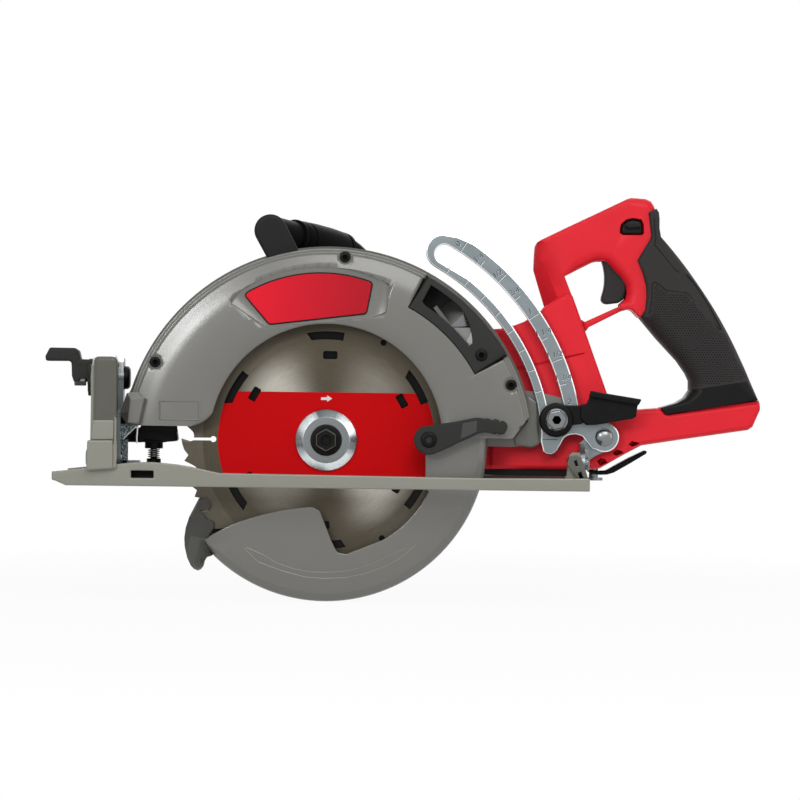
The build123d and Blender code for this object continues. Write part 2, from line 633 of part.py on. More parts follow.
# Rear body and D handle: one outline, split in two halves, with the grip as a rubber sleeve
def body_outline():
    Polyline((60.0, 10.0), (168.0, 10.5), (178.0, 14.5), (195.6, 27.0), (199.5, 28.4), (273.0, 39.6),
             (279.0, 52.6), (277.8, 57.3))
    ThreePointArc((277.8, 57.3), (250.3, 114.2), (211.8, 163.9))
    Polyline((211.8, 163.9), (210.9, 178.7), (208.0, 184.0), (203.0, 187.4), (194.9, 187.7), (133.6, 158.6),
             (131.3, 152.7), (131.0, 141.0), (138.0, 117.8), (137.0, 114.6), (105.6, 103.5), (58.0, 103.0),
             (42.8, 85.0))
    ThreePointArc((42.8, 85.0), (MOTOR_X + MOTOR_R + 2.0, MOTOR_Z), (46.3, 22.0))
    Line((46.3, 22.0), (60.0, 10.0))


HAND_HOLE = [(151.7, 137.9), (170.7, 146.8), (181.5, 147.5), (191.5, 133.0), (191.0, 121.0), (202.0, 108.4),
             (232.6, 72.0), (232.9, 61.0), (215.0, 53.2), (182.5, 50.3), (164.5, 104.0)]
STRUT = [(160.0, 110.0), (163.0, 101.5), (198.0, 117.6), (193.5, 122.0)]
GRIP_AREA = [(204.0, 195.0), (206.2, 165.1), (204.4, 158.3), (198.4, 149.0), (202.9, 137.9), (204.3, 125.6),
             (203.7, 114.6), (199.0, 109.8), (190.0, 105.0), (205.0, 54.0), (214.3, 53.1), (217.5, 48.2),
             (290.0, 58.6), (290.0, 195.0)]
TRIGGER_SLOT = [(170.0, 149.0), (190.0, 121.2), (198.0, 121.6), (198.0, 150.0), (194.0, 158.0), (178.0, 157.0)]
TRIGGER_PIN = (184.5, 150.5)
BUTTON_AT, BUTTON_TURN = (194.0, 168.5), 25.4
BODY_CHAMFER = 5.0


def body_block(inset, chamfer_size):
    """The whole rear body and handle, drawn in from its outer faces by inset."""
    with BuildPart() as block:
        with BuildSketch(layer(BODY_Y1 - inset)):
            with BuildLine():
                body_outline()
            make_face()
            Polygon(*HAND_HOLE, align=None, mode=Mode.SUBTRACT)
            if inset:
                offset(amount=-inset, kind=Kind.INTERSECTION)
        extrude(amount=BODY_Y1 - BODY_Y0 - 2 * inset)
        side_faces = block.faces().sort_by(Axis.Y)
        chamfer(side_faces[0].edges() + side_faces[-1].edges(), chamfer_size)
    return block


body_form = body_block(0.0, BODY_CHAMFER)
core_form = body_block(GRIP_T, BODY_CHAMFER - 1.0)
cavity_form = body_block(SKIN, 2.0)

with BuildPart() as grip_sleeve:
    add(body_form.part)
    with BuildSketch(layer(BODY_Y1 + 1.0)):
        Polygon(*GRIP_AREA, align=None)
    extrude(amount=BODY_Y1 - BODY_Y0 + 2.0, mode=Mode.INTERSECT)
    add(core_form.part, mode=Mode.SUBTRACT)

with BuildPart() as body_shell:
    add(body_form.part)
    with BuildSketch(layer(BODY_Y1 + 1.0)):
        Polygon(*GRIP_AREA, align=None)
    extrude(amount=BODY_Y1 - BODY_Y0 + 2.0, mode=Mode.SUBTRACT)
    add(core_form.part)
    add(cavity_form.part, mode=Mode.SUBTRACT)
    with BuildSketch(layer(SPLIT_Y + 4.0)):
        Polygon(*STRUT, align=None)
    extrude(amount=8.0)
    with BuildSketch(layer(BODY_Y1 - SKIN + 0.5)):
        with Locations(*BODY_SCREWS):
            Circle(4.4)
    extrude(amount=BODY_Y1 - BODY_Y0 - 2 * SKIN + 1.0)
    for y1 in (BODY_Y1 - SKIN + 0.5, BODY_Y0 + SKIN + 3.5):
        with BuildSketch(layer(y1)):
            with Locations(TRIGGER_PIN):
                Circle(4.0)
        extrude(amount=4.0)
    with BuildSketch(layer(SPLIT_Y + 8.6)):
        Polygon(*TRIGGER_SLOT, align=None)
    extrude(amount=17.2, mode=Mode.SUBTRACT)
    with BuildSketch(layer(SPLIT_Y + 11.0)):
        with Locations(TRIGGER_PIN):
            Circle(1.5 + TIGHT)
    extrude(amount=22.0, mode=Mode.SUBTRACT)
    with BuildSketch(layer(BODY_Y1)):
        with Locations(Pos(*BUTTON_AT) * Rot(0, 0, BUTTON_TURN)):
            SlotOverall(14.1, 8.1)
    extrude(amount=BODY_Y1 - BODY_Y0, mode=Mode.SUBTRACT)
    for y0, y1, radius in ((30.0, BODY_Y1, 2.0 + RUN), (57.0, BODY_Y1, 4.1)):
        with BuildSketch(layer(y1)):
            with Locations(*BODY_SCREWS):
                Circle(radius)
        extrude(amount=y1 - y0, mode=Mode.SUBTRACT)
    with BuildSketch(Plane.XY.offset(9.0)):
        with Locations((172.0, 52.0)):
            Circle(3.0 + TIGHT)
    extrude(amount=14.0, mode=Mode.SUBTRACT)

with BuildPart() as handle_left_half:
    add(body_shell.part)
    split(bisect_by=Plane.XZ.offset(-SPLIT_Y), keep=Keep.TOP)
with BuildPart() as handle_right_half:
    add(body_shell.part)
    split(bisect_by=Plane.XZ.offset(-SPLIT_Y), keep=Keep.BOTTOM)

# Trigger, its pin, the switch and the lock-off button
with BuildPart() as trigger:
    with BuildSketch(layer(SPLIT_Y + 8.0)):
        with BuildLine():
            ThreePointArc((175.7, 146.2), (178.0, 133.0), (175.3, 122.8))
            Polyline((175.3, 122.8), (177.2, 120.6), (187.3, 121.6), (189.5, 126.0), (193.0, 140.0), (193.0, 152.0),
                     (187.0, 155.0), (178.5, 152.0), (175.7, 146.2))
        make_face()
        with Locations(TRIGGER_PIN):
            Circle(1.5 + RUN, mode=Mode.SUBTRACT)
    extrude(amount=16.0)
trigger_pin = turned(TRIGGER_PIN, [(SPLIT_Y - 10.8, SPLIT_Y + 10.8, 1.5)])
with BuildPart() as switch_body:
    with BuildSketch(layer(SPLIT_Y + 9.0)):
        with Locations((209.5, 133.0)):
            RectangleRounded(20.0, 24.0, 2.0)
    extrude(amount=18.0)
    with BuildSketch(layer(SPLIT_Y + 4.0)):
        with Locations((199.2, 138.0)):
            Rectangle(3.0, 8.0)
    extrude(amount=8.0)
with BuildPart() as lock_off_button:
    with BuildSketch(layer(BODY_Y1 + 1.5)):
        with Locations(Pos(*BUTTON_AT) * Rot(0, 0, BUTTON_TURN)):
            SlotOverall(13.5, 7.5)
    extrude(amount=BODY_Y1 - BODY_Y0 + 3.0)

with BuildPart() as controller_board:
    with BuildSketch(layer(54.0)):
        with Locations((90.0, 57.0)):
            RectangleRounded(46.0, 48.0, 2.0)
    extrude(amount=4.0)
    with BuildSketch(layer(50.0)):
        with GridLocations(8.0, 1.0, 5, 1):
            with Locations((90.0, 57.0)):
                Rectangle(2.0, 42.0)
    extrude(amount=5.0)

# Battery rail on the motor side of the rear body, and its contacts
RAIL_X0, RAIL_X1, RAIL_Z0, RAIL_Z1 = 68.0, 146.0, 22.0, 96.0
RAIL_MID_X, RAIL_MID_Z = (RAIL_X0 + RAIL_X1) / 2, (RAIL_Z0 + RAIL_Z1) / 2
with BuildPart() as battery_rail:
    with BuildSketch(layer(BODY_Y1 + 3.0)):
        with Locations((RAIL_MID_X, RAIL_MID_Z)):
            RectangleRounded(RAIL_X1 - RAIL_X0, RAIL_Z1 - RAIL_Z0, 4.0)
        with Locations(*BODY_SCREWS):
            Circle(4.4, mode=Mode.SUBTRACT)
    extrude(amount=3.0)
    with BuildSketch(Plane.YZ.offset(RAIL_X0 + 6.0)):
        for side in (-1, 1):
            foot, lip = RAIL_MID_Z + side * 24.0, RAIL_MID_Z + side * 32.0
            Polygon((BODY_Y1 + 2.0, foot), (BODY_Y1 + 9.0, foot), (BODY_Y1 + 9.0, lip), (BODY_Y1 + 6.2, lip),
                    (BODY_Y1 + 6.2, foot + side * 4.0), (BODY_Y1 + 2.0, foot + side * 4.0), align=None)
    extrude(amount=RAIL_X1 - RAIL_X0 - 10.0)
    with BuildSketch(layer(BODY_Y1 + 12.0)):
        with Locations((RAIL_X0 + 8.0, RAIL_MID_Z)):
            RectangleRounded(12.0, 34.0, 2.0)
    extrude(amount=10.0)
with BuildPart() as battery_contacts:
    with BuildSketch(Plane.YZ.offset(RAIL_X0 + 14.0)):
        for k in (-1, 0, 1):
            with Locations((BODY_Y1 + 8.0, RAIL_MID_Z + 11.0 * k)):
                Rectangle(5.0, 1.2)
    extrude(amount=18.0)

# Front handle: a leg on the guard, a bar across the motor and a leg on the motor tube
BAR_A, BAR_B, BAR_C = (-37.0, 8.0, 163.4), (16.0, 90.0, 152.6), (16.0, 90.0, 99.5)
BAR_R, BAR_GRIP_R = 9.5, 13.0
LEG_END = (-26.0, 140.0)
bar_vector = Vector(*BAR_B) - Vector(*BAR_A)
with BuildPart() as front_handle:
    with BuildLine() as bar_path:
        FilletPolyline(BAR_A, BAR_B, BAR_C, radius=16.0)
    with BuildSketch(Plane(origin=BAR_A, z_dir=bar_vector)):
        Circle(BAR_R)
    sweep()
    with BuildSketch(layer(17.0)):
        with Locations((BAR_A[0], BAR_A[2])):
            Circle(9.65)
        lean = math.atan2(LEG_END[1] - BAR_A[2], LEG_END[0] - BAR_A[0])
        mid = ((BAR_A[0] + LEG_END[0]) / 2, (BAR_A[2] + LEG_END[1]) / 2)
        with Locations(Pos(*mid) * Rot(0, 0, math.degrees(lean))):
            Rectangle(math.dist((BAR_A[0], BAR_A[2]), LEG_END), 19.3)
    extrude(amount=14.0)
    with BuildSketch(layer(HOUSING_Y)):
        with Locations(GUARD):
            Circle(HOUSING_R)
    extrude(amount=HOUSING_Y + 12.0, mode=Mode.SUBTRACT)

GRIP_FROM, GRIP_TO = 0.2, 0.8
with BuildPart() as front_handle_grip:
    with BuildSketch(Plane(origin=Vector(*BAR_A) + bar_vector * GRIP_FROM, z_dir=bar_vector)):
        Circle(BAR_GRIP_R)
        Circle(BAR_R, mode=Mode.SUBTRACT)
    extrude(amount=bar_vector.length * (GRIP_TO - GRIP_FROM))
    fillet(front_handle_grip.edges().filter_by(GeomType.CIRCLE).filter_by(lambda e: e.radius > 12.0), 2.0)

# Screws of the gear case and of the two body halves
with BuildPart() as case_screws:
    for y0, y1, radius in ((13.5, HOUSING_Y - WALL, 3.6), (HOUSING_Y - WALL, 27.5, 2.0)):
        with BuildSketch(layer(y1)):
            with Locations(*CASE_SCREWS):
                Circle(radius)
        extrude(amount=y1 - y0)
    for y0, y1, radius in ((57.0, 59.2, 3.8), (32.0, 57.0, 2.0)):
        with BuildSketch(layer(y1)):
            with Locations(*BODY_SCREWS):
                Circle(radius)
        extrude(amount=y1 - y0)


# Depth bracket: the slot follows the clamp bolt while the body tilts and the bracket turns on its rivet
def slot_point(depth):
    a, b = math.radians(depth), math.radians(depth * LINK_RATIO)
    dx, dz = BOLT_X - DEPTH_X, BOLT_Z - DEPTH_Z
    x = DEPTH_X + dx * math.cos(a) - dz * math.sin(a) - RIVET_X
    z = DEPTH_Z + dx * math.sin(a) + dz * math.cos(a) - RIVET_Z
    return (RIVET_X + x * math.cos(b) - z * math.sin(b), RIVET_Z + x * math.sin(b) + z * math.cos(b))


BRACKET_Y0, BRACKET_Y1 = 14.6, 17.6
IN_R, OUT_R = 136.4, 162.7
with BuildPart() as depth_bracket:
    with BuildSketch(layer(BRACKET_Y1)):
        with BuildLine():
            ThreePointArc(polar(IN_R, 7.0, GUARD), polar(IN_R, 34.0, GUARD), polar(IN_R, 61.4, GUARD))
            Polyline(polar(IN_R, 61.4, GUARD), (58.8, 151.4), (70.8, 162.4), polar(OUT_R, 57.5, GUARD))
            ThreePointArc(polar(OUT_R, 57.5, GUARD), polar(OUT_R, 35.0, GUARD), polar(OUT_R, 12.7, GUARD))
            Polyline(polar(OUT_R, 12.7, GUARD), (165.0, 47.0), (177.1, 43.3), (177.1, 24.3), (166.0, 32.5),
                     (152.6, 33.0), (147.9, 25.2), (144.7, 22.3), (140.9, 22.2), polar(IN_R, 7.0, GUARD))
        make_face()
        with Locations((RIVET_X, RIVET_Z)):
            Circle(9.5)
            Circle(3.0 + RUN, mode=Mode.SUBTRACT)
        for d0, d1 in ((-0.6, DEPTH_MAX / 2), (DEPTH_MAX / 2, DEPTH_MAX + 0.6)):
            with BuildLine() as slot_line:
                ThreePointArc(slot_point(d0), slot_point((d0 + d1) / 2), slot_point(d1))
            SlotArc(slot_line.edges()[0], 7.0, mode=Mode.SUBTRACT)
    extrude(amount=BRACKET_Y1 - BRACKET_Y0)

bracket_rivet = turned((RIVET_X, RIVET_Z), [(12.8, 14.3, 5.4), (14.3, 21.4, 3.0), (21.4, 22.8, 5.0)])
depth_bolt = turned((BOLT_X, BOLT_Z), [(2.0, 21.2, 3.0), (21.2, 23.9, 6.5)])

with BuildPart() as depth_lever:
    with BuildSketch(layer(14.2)):
        with Locations((BOLT_X, BOLT_Z)):
            Circle(11.3)
    extrude(amount=9.2)
    with BuildSketch(layer(11.0)):
        Polygon((148.0, 55.2), (162.5, 54.3), (168.3, 62.3), (200.3, 57.4), (196.4, 46.3), (182.2, 44.5),
                (166.4, 41.1), (148.0, 38.0), align=None)
    extrude(amount=6.0)
    with BuildSketch(layer(11.0)):
        Polygon((168.3, 62.3), (200.3, 57.4), (199.4, 54.4), (166.3, 59.6), align=None)
    extrude(amount=11.0)
    with BuildSketch(layer(15.0)):
        with Locations((BOLT_X, BOLT_Z)):
            Circle(3.0 + RUN)
    extrude(amount=16.0, mode=Mode.SUBTRACT)
with BuildPart() as depth_lever_nut:
    with BuildSketch(layer(5.0)):
        with Locations((BOLT_X, BOLT_Z)):
            Circle(7.6)
    extrude(amount=1.2)
    with BuildSketch(layer(3.8)):
        with Locations((BOLT_X, BOLT_Z)):
            RegularPolygon(6.6, 6, rotation=12)
    extrude(amount=4.4)
    with BuildSketch(layer(5.0)):
        with Locations((BOLT_X, BOLT_Z)):
            Circle(3.0 + RUN)
    extrude(amount=8.0, mode=Mode.SUBTRACT)

# Rear tilt bracket: a plate on the bevel pivot and an ear for the bracket's rivet
with BuildPart() as rear_tilt_bracket:
    with BuildSketch(Plane.YZ.offset(161.3)):
        with Locations((0.0, BEVEL_Z)):
            Circle(7.5)
        Polygon((0.0, 9.5), (21.1, 14.0), (21.1, 29.5), (8.0, 29.5), (-5.0, 22.6), align=None)
        with Locations((0.0, BEVEL_Z)):
            Circle(4.0 + RUN, mode=Mode.SUBTRACT)
    extrude(amount=3.0)
    with BuildSketch(layer(21.1)):
        Polygon((161.3, 14.5), (172.0, 22.0), (177.1, 24.3), (177.1, 43.3), (161.3, 29.5), align=None)
        with Locations((RIVET_X, RIVET_Z)):
            Circle(9.5)
            Circle(3.0 + TIGHT, mode=Mode.SUBTRACT)
    extrude(amount=3.0)

# Front tilt plate: carries the bevel bolt, the ears of the depth pivot and a foot over the shoe
with BuildPart() as front_tilt_plate:
    with BuildSketch(Plane.YZ.offset(PLATE_X0)):
        with Locations((0.0, BEVEL_Z)):
            Circle(11.0)
        Polygon((-11.0, BEVEL_Z), (-11.0, 44.0), (19.0, 47.5), (19.0, STUD_Z), (34.0, STUD_Z), (36.5, 60.0),
                (36.5, 26.0), (24.0, 9.0), (4.0, 6.8), align=None)
        with Locations((STUD_Y, STUD_Z)):
            Circle(7.8)
            Circle(3.0 + TIGHT, mode=Mode.SUBTRACT)
        with Locations((0.0, BEVEL_Z)):
            Circle(4.0 + RUN, mode=Mode.SUBTRACT)
    extrude(amount=PLATE_X1 - PLATE_X0)
    for y1, thick in ((18.0, 3.0), (-6.0, 3.5)):
        with BuildSketch(layer(y1)):
            Polygon((PLATE_X0 + 1.0, 38.0), (DEPTH_X, DEPTH_Z - 8.0), (DEPTH_X, DEPTH_Z + 8.0), (PLATE_X1, 47.0),
                    (PLATE_X0 + 1.0, 43.5), align=None)
            with Locations((DEPTH_X, DEPTH_Z)):
                Circle(8.0)
                Circle(4.0 + TIGHT, mode=Mode.SUBTRACT)
        extrude(amount=thick)
    with BuildSketch(Plane.XY.offset(13.4)):
        with Locations((PLATE_X1 + 5.0, 16.0)):
            Rectangle(12.0, 20.0)
    extrude(amount=2.2)

depth_pivot_pin = turned((DEPTH_X, DEPTH_Z), [(-11.0, -9.5, 6.0), (-9.5, 18.0, 4.0), (18.0, 19.5, 6.0)])

# Bevel clamp: bolt, lever and nut on the front quadrant
LEVER_X0, LEVER_X1 = -154.0, -147.8
with BuildPart() as bevel_bolt:
    with BuildSketch(Plane.YZ.offset(-159.0)):
        with Locations((STUD_Y, STUD_Z)):
            Circle(3.0)
    extrude(amount=PLATE_X1 + 159.0)
    with BuildSketch(Plane.YZ.offset(PLATE_X1)):
        with Locations((STUD_Y, STUD_Z)):
            Circle(7.4)
    extrude(amount=4.0)
    fillet(bevel_bolt.faces().sort_by(Axis.X)[-1].edges(), 2.5)
with BuildPart() as bevel_lever:
    with BuildSketch(Plane.YZ.offset(LEVER_X0)):
        with Locations((STUD_Y, STUD_Z)):
            Circle(11.4)
    extrude(amount=LEVER_X1 - LEVER_X0)
    with BuildSketch(layer(STUD_Y + 8.0)):
        Polygon((-149.0, 75.2), (-149.0, 79.5), (-158.0, 79.5), (-158.4, 83.6), (-161.7, 86.8), (-177.7, 86.6),
                (-180.5, 81.4), (-180.5, 78.2), (-168.0, 78.4), (-165.0, 75.5), (-165.0, 66.5), (-159.8, 66.5),
                (-159.8, 75.2), align=None)
    extrude(amount=16.0)
    with BuildSketch(Plane.YZ.offset(LEVER_X0 - 1.0)):
        with Locations((STUD_Y, STUD_Z)):
            Circle(3.0 + RUN)
    extrude(amount=8.0, mode=Mode.SUBTRACT)
with BuildPart() as bevel_lever_nut:
    with BuildSketch(Plane.YZ.offset(LEVER_X0 - 4.0)):
        with Locations((STUD_Y, STUD_Z)):
            RegularPolygon(6.4, 6)
            Circle(3.0 + RUN, mode=Mode.SUBTRACT)
    extrude(amount=4.0)

# Shoe: plate with rolled edges, the hump of the fence tunnel, the bevel quadrant and the rear lug
HUMP = [(-121.5, 12.6), (-113.4, 13.0), (-107.0, 12.7), (-92.0, 11.0), (-78.0, 8.3)]
QUAD_R, QUAD_A0, QUAD_A1 = 65.0, 50.0, 128.0
STUD_R = math.dist((STUD_Y, STUD_Z), (0.0, BEVEL_Z))
STUD_A = math.degrees(math.atan2(STUD_Z - BEVEL_Z, STUD_Y))
BEVEL_MAX = 53.0
BEVEL = (0.0, BEVEL_Z)
with BuildPart() as shoe:
    with BuildSketch(Plane.XY):
        with Locations(((SHOE_X0 + SHOE_X1) / 2, (SHOE_Y0 + SHOE_Y1) / 2)):
            RectangleRounded(SHOE_X1 - SHOE_X0, SHOE_Y1 - SHOE_Y0, 5.0)
    extrude(amount=SHOE_T)
    for y1 in (SHOE_Y0 + 4.0, SHOE_Y1):
        with BuildSketch(layer(y1)):
            Polygon((SHOE_X0 + 5.0, 0.0), (SHOE_X0, 3.6), (SHOE_X0, 8.5), (-148.4, 11.0), *HUMP, (97.0, 7.4),
                    (SHOE_X1, 7.9), (SHOE_X1, 0.0), align=None)
        extrude(amount=4.0)
    with BuildSketch(layer(SHOE_Y1 - 2.0)):
        Polygon((-138.0, 2.0), (-134.0, 11.3), *HUMP, (-73.0, 2.0), align=None)
    extrude(amount=SHOE_Y1 - SHOE_Y0 - 4.0)
    with BuildSketch(Plane.XY.offset(-1.0)):
        with Locations(((SLOT[0] + SLOT[1]) / 2, (SLOT[2] + SLOT[3]) / 2)):
            RectangleRounded(SLOT[1] - SLOT[0], SLOT[3] - SLOT[2], 6.0)
    extrude(amount=30.0, mode=Mode.SUBTRACT)
    with BuildSketch(layer(SHOE_Y1 + 1.0)):
        with Locations((FENCE_X, FENCE_Z)):
            RectangleRounded(FENCE_W, FENCE_H, 0.6)
        Polygon((SHOE_X0 - 1.0, -1.0), (SHOE_X0 + 13.0, -1.0), (SHOE_X0 + 13.0, 0.0), (SHOE_X0 - 1.0, 3.6), align=None)
    extrude(amount=SHOE_Y1 - SHOE_Y0 + 2.0, mode=Mode.SUBTRACT)
    with BuildSketch(layer(40.0)):
        with Locations(((QUAD_X1 + PLATE_X1) / 2 + 0.3, 14.5)):
            Rectangle(4.4, 20.0)
    extrude(amount=58.0, mode=Mode.SUBTRACT)
    with BuildSketch(Plane.YZ.offset(QUAD_X0)):
        with BuildLine():
            Polyline((15.0, 3.0), polar(QUAD_R, QUAD_A0, BEVEL))
            ThreePointArc(polar(QUAD_R, QUAD_A0, BEVEL), polar(QUAD_R, 90.0, BEVEL), polar(QUAD_R, QUAD_A1, BEVEL))
            Polyline(polar(QUAD_R, QUAD_A1, BEVEL), (-15.0, 3.0), (15.0, 3.0))
        make_face()
        with BuildLine() as stud_line:
            ThreePointArc(polar(STUD_R, STUD_A - 1.0, BEVEL), polar(STUD_R, 90.0, BEVEL),
                          polar(STUD_R, STUD_A + BEVEL_MAX + 1.0, BEVEL))
        SlotArc(stud_line.edges()[0], 6.8, mode=Mode.SUBTRACT)
    extrude(amount=QUAD_X1 - QUAD_X0)
    with BuildSketch(layer(14.0)):
        Polygon((-151.0, 3.0), (-151.0, 25.0), (-149.0, 28.0), (-135.4, 28.0), (-135.4, 3.0), align=None)
    extrude(amount=28.0)
    with BuildSketch(layer(8.0)):
        Polygon((152.0, 3.0), (154.0, 22.0), (156.0, 24.0), (161.0, 24.0), (161.0, 3.0), align=None)
    extrude(amount=16.0)
    with BuildSketch(Plane.YZ.offset(-160.0)):
        with Locations(BEVEL):
            Circle(4.0 + TIGHT)
    extrude(amount=330.0, mode=Mode.SUBTRACT)

with BuildPart() as bevel_pivot_pins:
    for x0, x1, head in ((-151.0, -129.4, -153.5), (152.0, 166.5, 149.5)):
        with BuildSketch(Plane.YZ.offset(x0)):
            with Locations(BEVEL):
                Circle(4.0)
        extrude(amount=x1 - x0)
        with BuildSketch(Plane.YZ.offset(head)):
            with Locations(BEVEL):
                Circle(6.0)
        extrude(amount=x0 - head)

# Sprung stop between the tilt plate and the shoe
STOP_X, STOP_Y = -110.8, 27.0
with BuildPart() as stop_barrel:
    with BuildSketch(layer(STOP_Y + 7.0)):
        Polygon((PLATE_X1, 27.0), (PLATE_X1, 34.0), (-124.0, 36.0), (-99.0, 36.0), (-97.0, 33.0), (-99.0, 28.0),
                (-104.0, 27.0), align=None)
    extrude(amount=14.0)
    with BuildSketch(Plane.XY.offset(23.1)):
        with Locations((STOP_X, STOP_Y)):
            Circle(5.8)
    extrude(amount=8.0)
    with BuildSketch(Plane.XY.offset(20.0)):
        with Locations((STOP_X, STOP_Y)):
            Circle(2.2 + RUN)
    extrude(amount=20.0, mode=Mode.SUBTRACT)
with BuildPart() as stop_plunger:
    for z0, z1, radius in ((13.6, 40.0, 2.2), (13.6, 16.7, 4.6), (37.0, 40.0, 4.4)):
        with BuildSketch(Plane.XY.offset(z0)):
            with Locations((STOP_X, STOP_Y)):
                Circle(radius)
        extrude(amount=z1 - z0)

WIRE_R, COIL_R, COIL_TURNS, COIL_Z0, COIL_Z1 = 0.4, 3.5, 4, 17.2, 22.6
COIL_PITCH = (COIL_Z1 - COIL_Z0) / COIL_TURNS


def coil_point(turn):
    a = 2 * math.pi * turn
    return (STOP_X + COIL_R * math.cos(a), STOP_Y + COIL_R * math.sin(a), COIL_Z0 + COIL_PITCH * turn)


with BuildPart() as stop_spring:
    with BuildLine() as coil_path:
        for quarter in range(4 * COIL_TURNS):
            ThreePointArc(coil_point(quarter / 4), coil_point(quarter / 4 + 0.125), coil_point(quarter / 4 + 0.25))
    with BuildSketch(Plane(origin=coil_path.line @ 0, z_dir=coil_path.line % 0)):
        Circle(WIRE_R)
    sweep()
coil_points = [coil_point(k / 40) for k in range(40 * COIL_TURNS + 1)]
coil_gap = min(math.dist(coil_points[i], coil_points[j]) for i in range(len(coil_points))
               for j in range(i + 20, len(coil_points))) - 2 * WIRE_R
print("stop_spring least gap to itself, mm:", round(coil_gap, 2))

# Rafter hook under the rear body, its front end clear of the shoe's rear edge
HOOK_X, HOOK_Y = 172.0, 52.0
HOOK_X0 = SHOE_X1 + 1.4
with BuildPart() as rafter_hook:
    with BuildSketch(layer(HOOK_Y + 7.0)):
        with BuildLine():
            Polyline((HOOK_X0, 9.4), (HOOK_X0 + 1.2, 7.7), (178.0, 7.8), (206.8, 23.2), (206.8, 26.0), (177.4, 10.4),
                     (HOOK_X0 + 1.2, 10.2), (HOOK_X0, 9.4))
        make_face()
    extrude(amount=14.0)
    with BuildSketch(Plane.XY.offset(5.0)):
        with Locations((HOOK_X, HOOK_Y)):
            Circle(3.0 + RUN)
    extrude(amount=20.0, mode=Mode.SUBTRACT)
with BuildPart() as hook_bolt:
    for z0, z1, radius in ((5.6, 7.5, 6.0), (7.5, 22.0, 3.0)):
        with BuildSketch(Plane.XY.offset(z0)):
            with Locations((HOOK_X, HOOK_Y)):
                Circle(radius)
        extrude(amount=z1 - z0)

PIECES = {
    "guard_cover": guard_cover, "guard_housing": guard_housing, "guard_screws": guard_screws,
    "chip_insert": chip_insert, "name_plate": name_plate, "gear_case": gear_case, "case_screws": case_screws,
    "motor_housing": motor_housing, "motor_end_cap": motor_end_cap, "stator_core": stator_core,
    "stator_windings": stator_windings, "controller_board": controller_board,
    "handle_left_half": handle_left_half, "handle_right_half": handle_right_half, "grip_sleeve": grip_sleeve,
    "switch_body": switch_body, "trigger_pin": trigger_pin, "battery_rail": battery_rail,
    "battery_contacts": battery_contacts, "front_handle": front_handle, "front_handle_grip": front_handle_grip,
    "spindle_bearing_front": spindle_bearing_front, "spindle_bearing_rear": spindle_bearing_rear,
    "rotor_bearing_front": rotor_bearing_front, "rotor_bearing_rear": rotor_bearing_rear,
    "guard_return_spring": guard_return_spring, "depth_bolt": depth_bolt, "hook_bolt": hook_bolt,
    "spindle": spindle, "drive_gear": drive_gear, "inner_flange": inner_flange, "saw_blade": saw_blade,
    "outer_flange": outer_flange, "blade_bolt": blade_bolt, "rotor_shaft": rotor_shaft, "rotor_core": rotor_core,
    "cooling_fan": cooling_fan, "lower_guard": lower_guard, "guard_lever": guard_lever,
    "guard_lever_screw": guard_lever_screw, "trigger": trigger, "lock_off_button": lock_off_button,
    "spindle_lock_button": spindle_lock_button, "front_tilt_plate": front_tilt_plate,
    "rear_tilt_bracket": rear_tilt_bracket, "depth_pivot_pin": depth_pivot_pin, "bevel_bolt": bevel_bolt,
    "bracket_rivet": bracket_rivet, "stop_barrel": stop_barrel, "depth_bracket": depth_bracket, "shoe": shoe,
    "bevel_pivot_pins": bevel_pivot_pins, "bevel_lever": bevel_lever, "bevel_lever_nut": bevel_lever_nut,
    "depth_lever": depth_lever, "depth_lever_nut": depth_lever_nut, "rafter_hook": rafter_hook,
    "stop_plunger": stop_plunger, "stop_spring": stop_spring,
}
os.makedirs("parts", exist_ok=True)
for name, piece in PIECES.items():
    piece.part.label = name
    export_step(piece.part, f"parts/{name}.step")
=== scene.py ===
"""Looks of a rear handle circular saw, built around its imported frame.

+X to the rear of the saw, +Y from the blade side to the motor side, +Z up. Shapes are drawn in millimetres,
outlines as (x, z) seen from the blade side, and become metres as they are made into meshes.
"""

import json
import math
from itertools import pairwise

import bmesh
import bpy
from mathutils import Matrix, Vector
from mathutils.bvhtree import BVHTree

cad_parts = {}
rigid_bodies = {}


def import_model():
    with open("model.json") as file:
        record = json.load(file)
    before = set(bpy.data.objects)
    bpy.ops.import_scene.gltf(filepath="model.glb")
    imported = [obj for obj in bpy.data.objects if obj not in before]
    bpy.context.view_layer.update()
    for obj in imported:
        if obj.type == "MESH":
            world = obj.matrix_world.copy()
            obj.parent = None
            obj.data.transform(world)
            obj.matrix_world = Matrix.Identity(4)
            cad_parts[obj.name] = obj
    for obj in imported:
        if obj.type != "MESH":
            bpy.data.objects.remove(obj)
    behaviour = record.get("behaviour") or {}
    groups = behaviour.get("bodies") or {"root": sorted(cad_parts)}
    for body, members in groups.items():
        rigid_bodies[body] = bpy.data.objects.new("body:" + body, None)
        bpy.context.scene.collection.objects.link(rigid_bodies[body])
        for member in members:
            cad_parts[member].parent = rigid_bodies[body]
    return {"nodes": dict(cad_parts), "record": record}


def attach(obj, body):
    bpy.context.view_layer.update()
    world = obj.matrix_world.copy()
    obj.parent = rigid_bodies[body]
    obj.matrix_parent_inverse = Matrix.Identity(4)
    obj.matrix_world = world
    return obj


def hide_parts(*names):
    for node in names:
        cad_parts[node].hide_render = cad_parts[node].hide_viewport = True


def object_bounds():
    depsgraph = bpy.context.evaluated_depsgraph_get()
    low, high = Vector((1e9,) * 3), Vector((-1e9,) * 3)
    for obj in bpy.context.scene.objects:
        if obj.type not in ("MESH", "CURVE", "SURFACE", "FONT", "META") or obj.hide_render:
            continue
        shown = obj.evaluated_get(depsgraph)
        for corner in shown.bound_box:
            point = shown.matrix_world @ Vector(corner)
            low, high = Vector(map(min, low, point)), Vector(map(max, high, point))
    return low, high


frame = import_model()
CAD_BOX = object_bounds()
